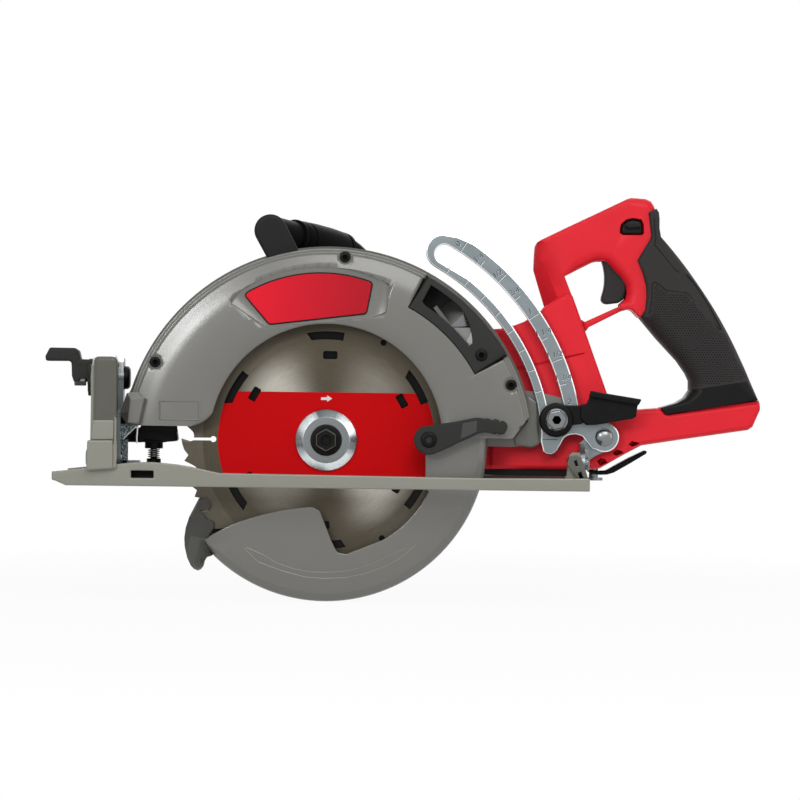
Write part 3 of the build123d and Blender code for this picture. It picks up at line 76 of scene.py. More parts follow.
NODES = frame["nodes"]
BODY_OF = {n: b for b, names in frame["record"]["behaviour"]["bodies"].items() for n in names}
SLOT_OF = {s["node"]: s["material_slot"] for s in frame["record"]["subparts"]}

MM = 0.001

# Driving places and sizes
ARBOR = (0.0, 30.0)
GUARD = (1.2, 21.4)
COVER_R = 129.8
COVER_FACE = -16.5
COVER_BACK = -12.4
RECESS_FLOOR = -13.8
OPENING_R = 73.5
LOWER_R = 102.2
LOWER_FACE = -11.8
SPLIT_Y = 42.0
BODY_FACE = 26.0
BOLT = (146.2, 44.5)
RIVET = (177.1, 33.8)
GUARD_SCREWS = [(-108.5, 78.1), (10.7, 145.8), (116.5, 66.3)]
INSERT_SCREW = (97.6, 85.0)

# Camera: the photograph's distance, lens and slight roll
CAMERA_AT = (0.0465, -3.0, 0.056)
CAMERA_ROLL = -0.0122
LENS = 212.6
SENSOR = 36.0


# Node trees


class Wire:
    """One value in a node tree. Operators on it add Math nodes."""

    def __init__(self, tree, socket):
        self.tree = tree
        self.socket = socket

    def __add__(self, other):
        return self.tree.maths("ADD", self, other)

    __radd__ = __add__

    def __sub__(self, other):
        return self.tree.maths("SUBTRACT", self, other)

    def __rsub__(self, other):
        return self.tree.maths("SUBTRACT", other, self)

    def __mul__(self, other):
        return self.tree.maths("MULTIPLY", self, other)

    __rmul__ = __mul__

    def __truediv__(self, other):
        return self.tree.maths("DIVIDE", self, other)

    def __rtruediv__(self, other):
        return self.tree.maths("DIVIDE", other, self)

    def __gt__(self, other):
        return self.tree.maths("GREATER_THAN", self, other)

    def __lt__(self, other):
        return self.tree.maths("LESS_THAN", self, other)

    def __pow__(self, other):
        return self.tree.maths("POWER", self, other)


class Tree:
    """Nodes of a material, a world or a layout."""

    def __init__(self, tree):
        self.tree = tree
        tree.nodes.clear()

    def node(self, kind, settings=None, inputs=None, out=0):
        made = self.tree.nodes.new(kind)
        for key, value in (settings or {}).items():
            if key == "stops":
                self.set_stops(made.color_ramp, value)
            else:
                setattr(made, key, value)
        for key, value in (inputs or {}).items():
            self.feed(made.inputs[key], value)
        return Wire(self, made.outputs[out]) if made.outputs else None

    def feed(self, socket, value):
        if isinstance(value, Wire):
            self.tree.links.new(value.socket, socket)
        elif socket.type == "RGBA" and len(value) == 3:
            socket.default_value = (*value, 1.0)
        else:
            socket.default_value = value

    @staticmethod
    def set_stops(ramp, stops):
        ramp.elements[0].position, ramp.elements[1].position = stops[0][0], stops[-1][0]
        for place, _ in stops[1:-1]:
            ramp.elements.new(place)
        for element, (_, shade) in zip(ramp.elements, stops):
            element.color = (shade, shade, shade, 1.0)

    def maths(self, operation, *values):
        return self.node("ShaderNodeMath", {"operation": operation}, dict(enumerate(values)))


class Shop(Tree):
    """The node tree of one material."""

    def __init__(self, name):
        self.material = bpy.data.materials.new(name)
        self.material.use_nodes = True
        super().__init__(self.material.node_tree)
        self.where = self.node("ShaderNodeTexCoord", out="Object")

    def mix(self, factor, first, second):
        """A colour between first and second."""
        return self.node("ShaderNodeMix", {"data_type": "RGBA"}, {0: factor, 6: first, 7: second}, out=2)

    def noise(self, scale, detail=2.0, where=None):
        """Grey noise, with scale in grains per metre."""
        return self.node("ShaderNodeTexNoise", None, {"Vector": where or self.where, "Scale": scale,
                                                      "Detail": detail})

    def ramp(self, value, *stops):
        return self.node("ShaderNodeValToRGB", {"stops": stops}, {"Fac": value})

    def place(self):
        """The three Object coordinates as values."""
        parts = self.node("ShaderNodeSeparateXYZ", None, {0: self.where}).socket.node
        return [Wire(self, socket) for socket in parts.outputs]

    def joined(self, x, y, z):
        return self.node("ShaderNodeCombineXYZ", None, {0: x, 1: y, 2: z})

    def bump(self, height, depth):
        """Surface relief, depth in metres."""
        return self.node("ShaderNodeBump", None, {"Height": height, "Distance": depth, "Strength": 1.0})

    def skin(self, colour, roughness, metallic, normal, specular=0.5):
        """Ends the tree in one Principled shader."""
        inputs = {"Base Color": colour, "Roughness": roughness, "Metallic": metallic, "Normal": normal}
        inputs["Specular IOR Level"] = specular
        return self.ended(self.node("ShaderNodeBsdfPrincipled", None, inputs))

    def ended(self, shader):
        self.node("ShaderNodeOutputMaterial", None, {"Surface": shader})
        return self.material


class Layout(Tree):
    """A geometry node tree that reads a mesh and has a named input for each of its sizes."""

    def __init__(self, name, sizes):
        group = bpy.data.node_groups.new(name, "GeometryNodeTree")
        super().__init__(group)
        group.interface.new_socket("Geometry", in_out="INPUT", socket_type="NodeSocketGeometry")
        kinds = {float: "NodeSocketFloat", int: "NodeSocketInt", bpy.types.Object: "NodeSocketObject"}
        self.sizes = {}
        for size, value in sizes.items():
            socket = group.interface.new_socket(size, in_out="INPUT", socket_type=kinds[type(value)])
            self.sizes[socket.identifier] = value
        group.interface.new_socket("Geometry", in_out="OUTPUT", socket_type="NodeSocketGeometry")
        source = group.nodes.new("NodeGroupInput")
        self.given = {name: Wire(self, source.outputs[name]) for name in ("Geometry", *sizes)}

    def made(self, shape, finish, mesh):
        """The plain mesh that the tree makes from mesh, its instances realised."""
        real = self.node("GeometryNodeRealizeInstances", None, {"Geometry": shape})
        done = self.node("GeometryNodeSetMaterial", None, {"Geometry": real, "Material": finish})
        self.node("NodeGroupOutput", None, {"Geometry": done})
        holder = holder_of(mesh)
        modifier = holder.modifiers.new("layout", "NODES")
        modifier.node_group = self.tree
        for identifier, value in self.sizes.items():
            modifier[identifier] = value
        return baked(holder)


# Finishes


def shaded(colour, factor):
    return tuple(c * factor for c in colour)


def moulded(name, colour, roughness, grain=2400.0, relief=0.00003, cloud=0.05, specular=0.22):
    """Moulded plastic or rubber: fine spark texture, faint clouds of tone and gloss."""
    shop = Shop(name)
    clouds = shop.noise(28.0, 3.0)
    sparks = shop.noise(grain, 2.0)
    tone = shop.mix(clouds, shaded(colour, 1.0 - cloud), shaded(colour, 1.0 + cloud))
    gloss = roughness - 0.06 + clouds * 0.08 + sparks * 0.06
    return shop.skin(tone, gloss, 0.0, shop.bump(sparks, relief), specular)


SHADED_INSIDE_R = 0.1


def cast_paint(name, colour, roughness=0.24, shade_depth=None, specular=0.8):
    """Satin paint on a light casting: orange peel, specks and uneven tone. With a shade depth, what lies
    round the arbor in front of that depth is painted dark, as painted shade inside the guard."""
    shop = Shop(name)
    clouds = shop.noise(18.0, 4.0)
    peel = shop.noise(900.0, 1.0)
    grain = shop.noise(3200.0, 2.0)
    specks = shop.ramp(shop.noise(1500.0, 0.0), (0.70, 0.0), (0.78, 1.0))
    tone = shop.mix(clouds, shaded(colour, 0.95), shaded(colour, 1.05))
    tone = shop.mix(specks * 0.10, tone, shaded(colour, 1.5))
    if shade_depth:
        # Painted shade: the inside round the arbor drops to 3 % of the paint's colour.
        inner = (shop.place()[1] < shade_depth) * (about_arbor(shop)[0] < SHADED_INSIDE_R)
        tone = shop.mix(inner, tone, shaded(colour, 0.03))
    gloss = roughness + (clouds - 0.5) * 0.08 + (grain - 0.5) * 0.06
    relief = shop.bump(peel * 0.7 + grain * 0.3, 0.00002)
    return shop.skin(tone, gloss, 0.0, relief, specular)


def plated(name, colour, roughness=0.34, mottle=0.35, flake=0.0):
    """Zinc plate: cloudy bluish metal with fine rolling marks."""
    shop = Shop(name)
    clouds = shop.noise(60.0, 5.0)
    spangle = shop.noise(420.0, 3.0)
    fine = shop.noise(2600.0, 1.0)
    tone = shop.mix(clouds, shaded(colour, 0.86), shaded(colour, 1.10))
    tone = shop.mix(spangle * mottle, tone, shaded(colour, 0.78))
    if flake:
        bright = shop.ramp(shop.noise(1300.0, 2.0), (0.50, 0.0), (0.60, 1.0))
        tone = shop.mix(bright * flake, shaded(colour, 0.5), shaded(colour, 3.6))
    gloss = roughness + (clouds - 0.5) * 0.14 + (spangle - 0.5) * 0.12
    return shop.skin(tone, gloss, 0.9, shop.bump(fine * 0.5 + spangle * 0.5, 0.00002))


def dark_steel(name, colour, roughness=0.38):
    """Black oxide steel with a faint brown and grey mottle."""
    shop = Shop(name)
    mottle = shop.noise(260.0, 4.0)
    fine = shop.noise(3000.0, 1.0)
    tone = shop.mix(mottle, shaded(colour, 0.7), shaded(colour, 1.5))
    return shop.skin(tone, roughness + (mottle - 0.5) * 0.2, 0.3, shop.bump(fine, 0.00002), 0.12)


def about_arbor(shop):
    """Distance from the arbor's axis, the angle round it and the height above it."""
    x, _, z = shop.place()
    up = z - ARBOR[1] * MM
    return shop.maths("SQRT", x * x + up * up), shop.maths("ARCTAN2", up, x), up


CONE_R = 0.0146
# Bright and dark sectors round the cone: a painted reflection.
REFLECTION_SECTORS = [(0.0, 0.40), (0.07, 0.45), (0.12, 0.95), (0.40, 0.95), (0.45, 0.35), (0.52, 0.40),
                (0.56, 1.0), (0.65, 1.0), (0.69, 0.20), (0.80, 0.10), (0.84, 1.0), (0.95, 1.0), (1.0, 0.40)]


def turned_metal(name, colour, roughness=0.26):
    """The plated flange: a dull face, a bright cone with dark and bright sectors of painted reflection,
    turning rings and scratches.
    """
    shop = Shop(name)
    radius, angle, _ = about_arbor(shop)
    rings = shop.noise(1.0, 2.0, shop.joined(radius * 5200.0, angle * 0.6, 0.0))
    marks = shop.noise(1.0, 3.0, shop.joined(radius * 700.0, angle * 9.0, 3.0))
    scratches = shop.ramp(marks, (0.60, 0.0), (0.68, 1.0))
    turn = angle / (2 * math.pi) + 0.5 + (marks - 0.5) * 0.03
    painted_reflection = shop.ramp(turn, *REFLECTION_SECTORS)
    slope = shop.mix(painted_reflection, shaded(colour, 0.03), shaded(colour, 1.12))
    tone = shop.mix(radius > CONE_R, shaded(colour, 0.25), slope)
    tone = shop.mix(rings, shop.mix(0.14, tone, shaded(colour, 0.2)), tone)
    tone = shop.mix(scratches * 0.4, tone, shaded(colour, 0.3))
    return shop.skin(tone, roughness + (rings - 0.5) * 0.16, 0.95, shop.bump(rings, 0.000012))


BAND_HALF = 0.0303
BAND_R = 0.0688
GROUND_R = 0.0785


def blade_finish(name, steel, band):
    """Lacquered blade plate: brushing rings with a painted sheen in two sectors, a ground rim and a plain red
    band.
    """
    shop = Shop(name)
    radius, angle, up = about_arbor(shop)
    brush = shop.noise(1.0, 4.0, shop.joined(radius * 3000.0, angle * 7.0, 0.0))
    stains = shop.noise(70.0, 4.0)
    # Painted sheen: bright sectors of the brushing, fading out towards the rim.
    four = (0.5 - shop.maths("COSINE", angle * 4.0) * 0.5) ** 1.4
    two = 0.5 - shop.maths("SINE", angle * 2.0) * 0.5
    near = shop.ramp(radius * 10.0, (0.50, 1.0), (0.64, 0.08))
    painted_sheen = four * (two * 0.65 + 0.35) * near
    tone = shop.mix(brush, shaded(steel, 0.66), shaded(steel, 1.30))
    tone = shop.mix(stains * 0.25, tone, shaded(steel, 0.62))
    tone = shop.mix(painted_sheen * (0.5 + brush * 0.7), tone, (0.48, 0.457, 0.405))
    rim = shop.mix(brush, (0.085, 0.076, 0.056), (0.135, 0.122, 0.095))
    tone = shop.mix(radius > GROUND_R, tone, rim)
    inside = (shop.maths("ABSOLUTE", up) < BAND_HALF) * (radius < BAND_R)
    print_grain = shop.noise(1400.0, 2.0)
    red = shop.mix(print_grain, shaded(band, 0.92), shaded(band, 1.06))
    tone = shop.mix(inside, tone, red)
    gloss = 0.40 + (brush - 0.5) * 0.16 + stains * 0.06 + inside * 0.10
    metal = 0.55 - inside * 0.55
    relief = shop.bump(brush * (1.0 - inside), 0.000015)
    return shop.skin(tone, gloss, metal, relief, 0.06)


def sign_darker_to_right(name, left, right):
    """A sign whose red is darker towards its right end."""
    shop = Shop(name)
    x, _, _ = shop.place()
    share = shop.ramp(x * 12.0 + 0.65, (0.1, 0.0), (0.9, 1.0))
    grain = shop.noise(1800.0, 2.0)
    tone = shop.mix(share, left, right)
    tone = shop.mix(grain * 0.12, tone, shaded(right, 0.8))
    return shop.skin(tone, 0.36 + grain * 0.08, 0.0, shop.bump(grain, 0.00001), 0.10)


FOOT_SLOPE = 0.158
FOOT_RISE = 0.0281


def grip_finish(name, colour):
    """Grip rubber: grained above the seam of its foot, darker and smoother below it."""
    shop = Shop(name)
    x, _, z = shop.place()
    foot = z < x * FOOT_SLOPE + FOOT_RISE
    clouds = shop.noise(28.0, 3.0)
    sparks = shop.noise(1800.0, 2.0)
    tone = shop.mix(clouds, shaded(colour, 0.92), shaded(colour, 1.08))
    tone = shop.mix(foot, tone, shaded(colour, 0.10))
    gloss = 0.52 + clouds * 0.08 + sparks * 0.06 - foot * 0.20
    return shop.skin(tone, gloss, 0.0, shop.bump(sparks, 0.00004), 0.14)


GREY = (0.158, 0.156, 0.140)
SHOE_GREY = (0.258, 0.257, 0.210)
RED = (0.830, 0.017, 0.032)
BLACK = (0.014, 0.014, 0.014)
RUBBER = (0.034, 0.032, 0.031)
CHARCOAL = (0.031, 0.031, 0.030)
ZINC = (0.215, 0.246, 0.258)
BRIGHT = (0.700, 0.730, 0.740)
STEEL = (0.480, 0.470, 0.450)
BLADE = (0.086, 0.074, 0.053)
OXIDE = (0.006, 0.006, 0.006)

FINISH = {
    "cast_grey": cast_paint("grey_casting_paint", GREY),
    "red_plastic": moulded("red_moulding", RED, 0.42),
    "black_plastic": moulded("black_moulding", BLACK, 0.40, specular=0.12),
    "dark_plastic": moulded("charcoal_moulding", CHARCOAL, 0.50, specular=0.12),
    "black_rubber": moulded("black_rubber", RUBBER, 0.58, 1800.0, 0.00005, 0.08, 0.12),
    "zinc": plated("zinc_plate", ZINC),
    "blade_steel": blade_finish("blade_plate", BLADE, (0.620, 0.002, 0.004)),
    "black_steel": dark_steel("black_oxide", OXIDE),
    "machined_steel": plated("machined_steel", STEEL, 0.30),
    "laminated_steel": plated("laminated_steel", shaded(STEEL, 0.7), 0.45),
    "copper": plated("varnished_copper", (0.62, 0.26, 0.11), 0.35),
    "contact_metal": plated("contact_metal", (0.70, 0.56, 0.30), 0.28),
}
SHOE_PAINT = cast_paint("shoe_casting_paint", SHOE_GREY)
# Near-black painted shade for grooves, gaps and hollows.
PAINTED_SHADE = moulded("groove_shade", shaded(RUBBER, 0.2), 0.70)
SIGN_RED = sign_darker_to_right("sign_red", (0.900, 0.014, 0.036), (0.520, 0.012, 0.024))
# Bright zinc for edges and the light side of marks: painted highlight.
EDGE_HIGHLIGHT = plated("bright_zinc_edge", shaded(BRIGHT, 1.2), 0.26, 0.10)
MOTTLED_ZINC = plated("mottled_zinc", shaded(ZINC, 0.6), 0.40, 0.9, 0.6)
CHROME = plated("bright_nut_plate", shaded(BRIGHT, 0.32), 0.22, 0.35)
FLANGE_METAL = turned_metal("turned_flange", (0.78, 0.84, 0.86))
RAMP_METAL = plated("ramp_metal", (0.25, 0.25, 0.24), 0.34, 0.3)
# Dark of stamped marks: painted shade in the stamping.
STAMP_SHADE = moulded("engraved_mark", (0.030, 0.034, 0.036), 0.60)
WHITE_PRINT = moulded("white_print", (0.80, 0.80, 0.79), 0.50)
# A lighter grey for the raised arrow lines.
ARROW_PAINT = cast_paint("worn_line_paint", shaded(GREY, 1.7))
# Brazed tips of the blade, and lighter lines on the bolt's hexagon as painted highlight.
CARBIDE_AND_HIGHLIGHT = plated("brazed_tips", (0.150, 0.135, 0.105), 0.40)
DARK_SHOE = cast_paint("lug_paint", shaded(SHOE_GREY, 0.35))
DEEP_BLACK = moulded("deep_black", (0.003, 0.003, 0.003), 0.45, 1800.0, 0.00004, 0.08, 0.02)
# Cast paint darkened for the lower guard's nose and the wall behind it: painted shade.
NOSE_SHADE = cast_paint("worn_nose_paint", shaded(GREY, 0.42), specular=0.25)
# A lighter charcoal for one facet of the guard lever: painted highlight.
LEVER_HIGHLIGHT = moulded("worn_lever_face", shaded(CHARCOAL, 2.4), 0.42, specular=0.12)
# Guard housing and hub paint, dark inside the guard as painted shade where the blade's windows show it.
HOUSING_PAINT = cast_paint("housing_paint", GREY, 0.24, 0.0165, 0.15)
HUB_PAINT = cast_paint("hub_paint", GREY, 0.24, 0.0070, 0.15)
# Shoe paint darkened for the quadrant column: painted shade.
COLUMN_SHADE = cast_paint("column_paint", shaded(SHOE_GREY, 0.42), specular=0.4)


# Outlines


def polar(radius, angle, centre=ARBOR):
    a = math.radians(angle)
    return (centre[0] + radius * math.cos(a), centre[1] + radius * math.sin(a))


def arc(radius, start, stop, centre=ARBOR, step=3.0):
    """Points along an arc, from start to stop in degrees."""
    count = max(2, round(abs(stop - start) / step))
    return [polar(radius, start + (stop - start) * k / count, centre) for k in range(count + 1)]


def circle(radius, centre, count, turn=0.0):
    """The points of a whole circle, or of a regular polygon with few of them."""
    step = 360.0 / count
    return arc(radius, turn, turn + 360.0 - step, centre, step)


def zone(name, *points):
    """Outline points that share one kind of edge."""
    return [(x, z, name) for x, z in points]


def bend(first, middle, last, count=14):
    """Points of the arc through three points."""
    (ax, az), (bx, bz), (cx, cz) = first, middle, last
    d = 2 * (ax * (bz - cz) + bx * (cz - az) + cx * (az - bz))
    a2, b2, c2 = ax * ax + az * az, bx * bx + bz * bz, cx * cx + cz * cz
    ux = (a2 * (bz - cz) + b2 * (cz - az) + c2 * (az - bz)) / d
    uz = (a2 * (cx - bx) + b2 * (ax - cx) + c2 * (bx - ax)) / d
    start, mid, stop = (math.degrees(math.atan2(z - uz, x - ux)) for x, z in (first, middle, last))
    sweep = (stop - start) % 360.0
    if (mid - start) % 360.0 > sweep:
        sweep -= 360.0
    return arc(math.dist(first, (ux, uz)), start, start + sweep, (ux, uz), abs(sweep) / count)


def eased(points, radius, steps=4, closed=True):
    """An outline with its corners rounded."""
    made = []
    for k, point in enumerate(points):
        if not closed and k in (0, len(points) - 1):
            made.append(point)
            continue
        here = Vector(point[:2])
        back = Vector(points[k - 1][:2]) - here
        ahead = Vector(points[(k + 1) % len(points)][:2]) - here
        turn = math.pi - back.angle(ahead)
        if turn < math.radians(9.0):
            made.append(point)
            continue
        reach = min(radius * math.tan(turn / 2), 0.45 * back.length, 0.45 * ahead.length)
        a, b = here + back.normalized() * reach, here + ahead.normalized() * reach
        for j in range(steps + 1):
            t = j / steps
            x, z = a * (1 - t) ** 2 + here * 2 * t * (1 - t) + b * t * t
            made.append((x, z, *point[2:]))
    return made


def quarter(wide, deep, face, steps):
    """Pairs (inset, y) of a quarter round that starts on a face."""
    turns = [math.pi / 2 * k / steps for k in range(steps + 1)]
    return [(wide * (1 - math.sin(t)), face + deep * (1 - math.cos(t))) for t in turns]


def rounded_side(front, back, front_round, back_round=None, steps=3):
    """Pairs (inset, y) from the front face round the side of a plate to its back face."""
    back_round = front_round if back_round is None else back_round
    wide, deep = front_round if isinstance(front_round, tuple) else (front_round, front_round)
    return quarter(wide, deep, front, steps) + quarter(back_round, -back_round, back, steps)[::-1]


def stepped(value, *pairs):
    """A value read off a line of (place, value) pairs."""
    for (p0, v0), (p1, v1) in zip(pairs, pairs[1:]):
        if value <= p1:
            return v0 + (v1 - v0) * max(0.0, (value - p0) / (p1 - p0))
    return pairs[-1][1]


def inside(point, outline):
    """True where a point lies within a closed outline."""
    x, z = point
    odd = False
    for (ax, az), (bx, bz) in zip(outline, outline[1:] + outline[:1]):
        if (az > z) != (bz > z) and x < ax + (z - az) * (bx - ax) / (bz - az):
            odd = not odd
    return odd


# Meshes


def holder_of(mesh):
    made = bpy.data.objects.new("work", mesh)
    bpy.context.scene.collection.objects.link(made)
    return made


def baked(holder):
    """The plain mesh of an object with its modifiers."""
    bpy.context.view_layer.update()
    graph = bpy.context.evaluated_depsgraph_get()
    mesh = bpy.data.meshes.new_from_object(holder.evaluated_get(graph))
    shape = holder.data
    bpy.data.objects.remove(holder)
    if shape.users == 0:
        bpy.data.batch_remove([shape])
    return mesh


def crisp(mesh, angle=34.0):
    """Smooth shading that leaves flat faces flat."""
    mesh.shade_smooth()
    mesh.set_sharp_from_angle(angle=math.radians(angle))
    holder = holder_of(mesh)
    even = holder.modifiers.new("even", "WEIGHTED_NORMAL")
    even.keep_sharp = True
    return baked(holder)


class Form:
    """The mesh of one piece, put together from plates, turned shapes and pipes, in millimetres."""

    def __init__(self):
        self.work = bmesh.new()

    def ring(self, points):
        return [self.work.verts.new(Vector(p) * MM) for p in points]

    def band(self, first, second, finish=0):
        for a, b in zip(range(-1, len(first) - 1), range(len(first))):
            self.work.faces.new((first[a], first[b], second[b], second[a])).material_index = finish

    def cap(self, loops, finish=0):
        edges = []
        for loop in loops:
            edges += [self.work.edges.get((a, b)) for a, b in zip(loop, loop[1:] + loop[:1])]
        filled = bmesh.ops.triangle_fill(self.work, use_beauty=True, edges=edges)
        for face in filled["geom"]:
            if isinstance(face, bmesh.types.BMFace):
                face.material_index = finish

    def plate(self, outline, side, holes=(), finish=0, side_finish=None):
        """A plate that faces the blade side. side gives (inset, y) pairs from the front face round to the
        back face, as one list or as a function of an outline point."""
        fronts, backs = [], []
        for loop, way in [(outline, 1.0), *((hole, -1.0) for hole in holes)]:
            around = list(zip(loop, loop[1:] + loop[:1]))
            area = sum(a[0] * b[1] - b[0] * a[1] for a, b in around)
            points = [p for p, _ in around] if area * way > 0 else [p for p, _ in reversed(around)]
            sides = [side(p) if callable(side) else side for p in points]
            moves = []
            for k, p in enumerate(points):
                q, r = points[k - 1], points[(k + 1) % len(points)]
                before = Vector((q[1] - p[1], p[0] - q[0])).normalized()
                after = Vector((p[1] - r[1], r[0] - p[0])).normalized()
                moves.append((before + after) / max(0.45, 1.0 + before.dot(after)))
            rings = []
            for k in range(len(sides[0])):
                rings.append(self.ring([(p[0] + m.x * s[k][0], s[k][1], p[1] + m.y * s[k][0])
                                        for p, m, s in zip(points, moves, sides)]))
            for first, second in zip(rings, rings[1:]):
                self.band(first, second, finish if side_finish is None else side_finish)
            fronts.append(rings[0])
            backs.append(rings[-1])
        self.cap(fronts, finish)
        self.cap(backs, finish)
        return self

    def block(self, outline, ease, *side, **more):
        """A plate with an eased outline and rounded edges, its side given as for rounded_side."""
        return self.plate(eased(outline, ease), rounded_side(*side), **more)

    def lathe(self, centre, profile, steps=48, finish=0):
        """A shape turned about the Y axis through centre, from (radius, y) pairs round its section."""
        rings = []
        for radius, y in profile:
            rings.append(self.ring([(x, y, z) for x, z in circle(max(radius, 0.01), centre, steps)]))
        for first, second in zip(rings, rings[1:] + rings[:1]):
            self.band(first, second, finish)
        return self

    def pipe(self, path, radius, steps=24, finish=0):
        """A round bar along a path, with a radius for each point of it."""
        points = [Vector(p) for p in path]
        side = Vector((0.0, 0.0, 1.0))
        rings = []
        for k, point in enumerate(points):
            ahead = (points[min(k + 1, len(points) - 1)] - points[max(k - 1, 0)]).normalized()
            side = (side - ahead * side.dot(ahead)).normalized()
            across = ahead.cross(side)
            turns = [2 * math.pi * j / steps for j in range(steps)]
            rims = [side * math.cos(t) + across * math.sin(t) for t in turns]
            rings.append(self.ring([point + rim * radius[k] for rim in rims]))
        for first, second in zip(rings, rings[1:]):
            self.band(first, second, finish)
        for end in (rings[0], rings[-1]):
            self.work.faces.new(end).material_index = finish
        return self

    def add(self, mesh, finish=None):
        """Takes in a finished mesh as it is."""
        known = len(self.work.faces)
        self.work.from_mesh(mesh)
        self.work.faces.ensure_lookup_table()
        if finish is not None:
            for face in self.work.faces[known:]:
                face.material_index = finish
        return self

    def sideways(self):
        """Turns a form drawn as (y, z) with depths along x into its place."""
        for vert in self.work.verts:
            vert.co.x, vert.co.y = vert.co.y, vert.co.x
        return self

    def flipped(self, middle=SPLIT_Y):
        """Mirrors the form to the other side of a plane across Y."""
        for vert in self.work.verts:
            vert.co.y = 2 * middle * MM - vert.co.y
        return self

    def mesh(self, *finishes, angle=34.0):
        bmesh.ops.remove_doubles(self.work, verts=self.work.verts, dist=1e-6)
        bmesh.ops.recalc_face_normals(self.work, faces=self.work.faces)
        made = bpy.data.meshes.new("shape")
        self.work.to_mesh(made)
        self.work.free()
        for finish in finishes:
            made.materials.append(finish)
        return crisp(made, angle) if angle else made


def cut(mesh, tool, *finishes):
    """The mesh with a tool's shape taken out of it."""
    knife = holder_of(tool.mesh(*finishes, angle=0.0))
    holder = holder_of(mesh)
    taking = holder.modifiers.new("cut", "BOOLEAN")
    taking.operation = "DIFFERENCE"
    taking.solver = "EXACT"
    taking.object = knife
    made = baked(holder)
    bpy.data.objects.remove(knife)
    return crisp(made)


def piece(name, mesh, node=None, body=None):
    """A finished object that stands for a CAD node, or rides on a body beside it."""
    made = bpy.data.objects.new(name, mesh)
    bpy.context.scene.collection.objects.link(made)
    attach(made, body or BODY_OF[node])
    if node:
        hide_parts(node)


def finished(node, form, *finishes):
    """Makes a form stand for a CAD node."""
    piece(node + "_finished", form.mesh(*finishes), node)


def welded(node, flat=0.6):
    """A merged copy of a CAD node's mesh, its flat faces joined."""
    work = bmesh.new()
    work.from_mesh(NODES[node].data)
    bmesh.ops.remove_doubles(work, verts=work.verts, dist=2e-6)
    bmesh.ops.dissolve_limit(work, angle_limit=math.radians(flat), verts=work.verts, edges=work.edges)
    mesh = bpy.data.meshes.new(node + "_shape")
    work.to_mesh(mesh)
    work.free()
    mesh.materials.clear()
    return mesh


def bevelled(mesh, width, segments=2, angle=28.0):
    """A mesh with its sharp edges rounded."""
    holder = holder_of(mesh)
    bevel = holder.modifiers.new("round", "BEVEL")
    bevel.width = width * MM
    bevel.segments = segments
    bevel.limit_method = "ANGLE"
    bevel.angle_limit = math.radians(angle)
    bevel.miter_outer = "MITER_ARC"
    return crisp(baked(holder), 40.0)


def rounded(node, width, extra=None, finish=None, more=()):
    """A CAD node with its sharp edges rounded and any extra form beside it, which stands for the node."""
    finish = finish or FINISH[SLOT_OF[node]]
    mesh = welded(node)
    mesh.materials.append(finish)
    mesh = bevelled(mesh, width)
    if extra:
        mesh = extra.add(mesh).mesh(finish, *more)
    piece(node + "_finished", mesh, node)


def bead(points, radius, finish, closed=False):
    """A thin round line along points of a path, in millimetres."""
    mesh = bpy.data.meshes.new("path")
    count = len(points)
    edges = [(k, (k + 1) % count) for k in range(count if closed else count - 1)]
    mesh.from_pydata([Vector(p) * MM for p in points], edges, [])
    plan = Layout("bead_along_path", {"Radius": radius * MM, "Sides": 8})
    line = plan.node("GeometryNodeMeshToCurve", None, {"Mesh": plan.given["Geometry"]})
    section = plan.node("GeometryNodeCurvePrimitiveCircle", None,
                        {"Resolution": plan.given["Sides"], "Radius": plan.given["Radius"]})
    wire = plan.node("GeometryNodeCurveToMesh", None,
                     {"Curve": line, "Profile Curve": section, "Fill Caps": True})
    return plan.made(plan.node("GeometryNodeSetShadeSmooth", None, {"Geometry": wire}), finish, mesh)


def spread(places, shape, finish):
    """Copies of a small mesh at (point, turn) places, points in millimetres."""
    mesh = bpy.data.meshes.new("places")
    mesh.from_pydata([Vector(p) * MM for p, _ in places], [], [])
    turns = mesh.attributes.new("turn", "FLOAT_VECTOR", "POINT")
    turns.data.foreach_set("vector", [v for _, turn in places for v in turn])
    item = holder_of(shape)
    plan = Layout("copies_at_places", {"Item": item, "Size": 1.0})
    copy = plan.node("GeometryNodeObjectInfo", None, {"Object": plan.given["Item"]}, out="Geometry")
    turn = plan.node("GeometryNodeInputNamedAttribute", {"data_type": "FLOAT_VECTOR"}, {"Name": "turn"})
    copies = plan.node("GeometryNodeInstanceOnPoints", None,
                       {"Points": plan.given["Geometry"], "Instance": copy, "Rotation": turn,
                        "Scale": plan.given["Size"]})
    made = plan.made(copies, finish, mesh)
    bpy.data.objects.remove(item)
    return made


def laid_on(mesh, points, lift=0.0):
    """Points (x, z) dropped from the blade side onto a mesh, as (point, normal)."""
    tree = BVHTree.FromPolygons([v.co for v in mesh.vertices], [p.vertices for p in mesh.polygons])
    made = []
    for x, z in points:
        hit, normal, _, _ = tree.ray_cast(Vector((x * MM, -0.2, z * MM)), Vector((0.0, 1.0, 0.0)))
        if hit:
            made.append((Vector((x, hit.y / MM, z)) + normal * lift, normal))
    return made


def line_on(mesh, path, ease, closed=False):
    """An eased path laid on a mesh."""
    return [tuple(p) for p, _ in laid_on(mesh, eased(path, ease, closed=closed))]


# Guard


COVER_DOME = [(0.0, -11.6), (0.3, -12.3), (0.5, -12.42), (1.3, -12.57), (1.5, -12.25), (1.8, -12.31),
              (2.0, -12.72), (2.2, -12.78), (3.0, -12.93), (3.2, -12.6), (3.5, -12.66), (3.7, -13.2),
              (4.3, -13.33), (5.2, -13.52), (8.0, -14.12), (12.0, -15.0), (18.0, -16.0), (32.0, COVER_FACE)]
COVER_INSIDE = [(0.0, 1.9), (3.0, 1.9), (3.0, -8.0), (5.0, -10.8), (24.0, COVER_BACK),
                (32.0, COVER_BACK)]


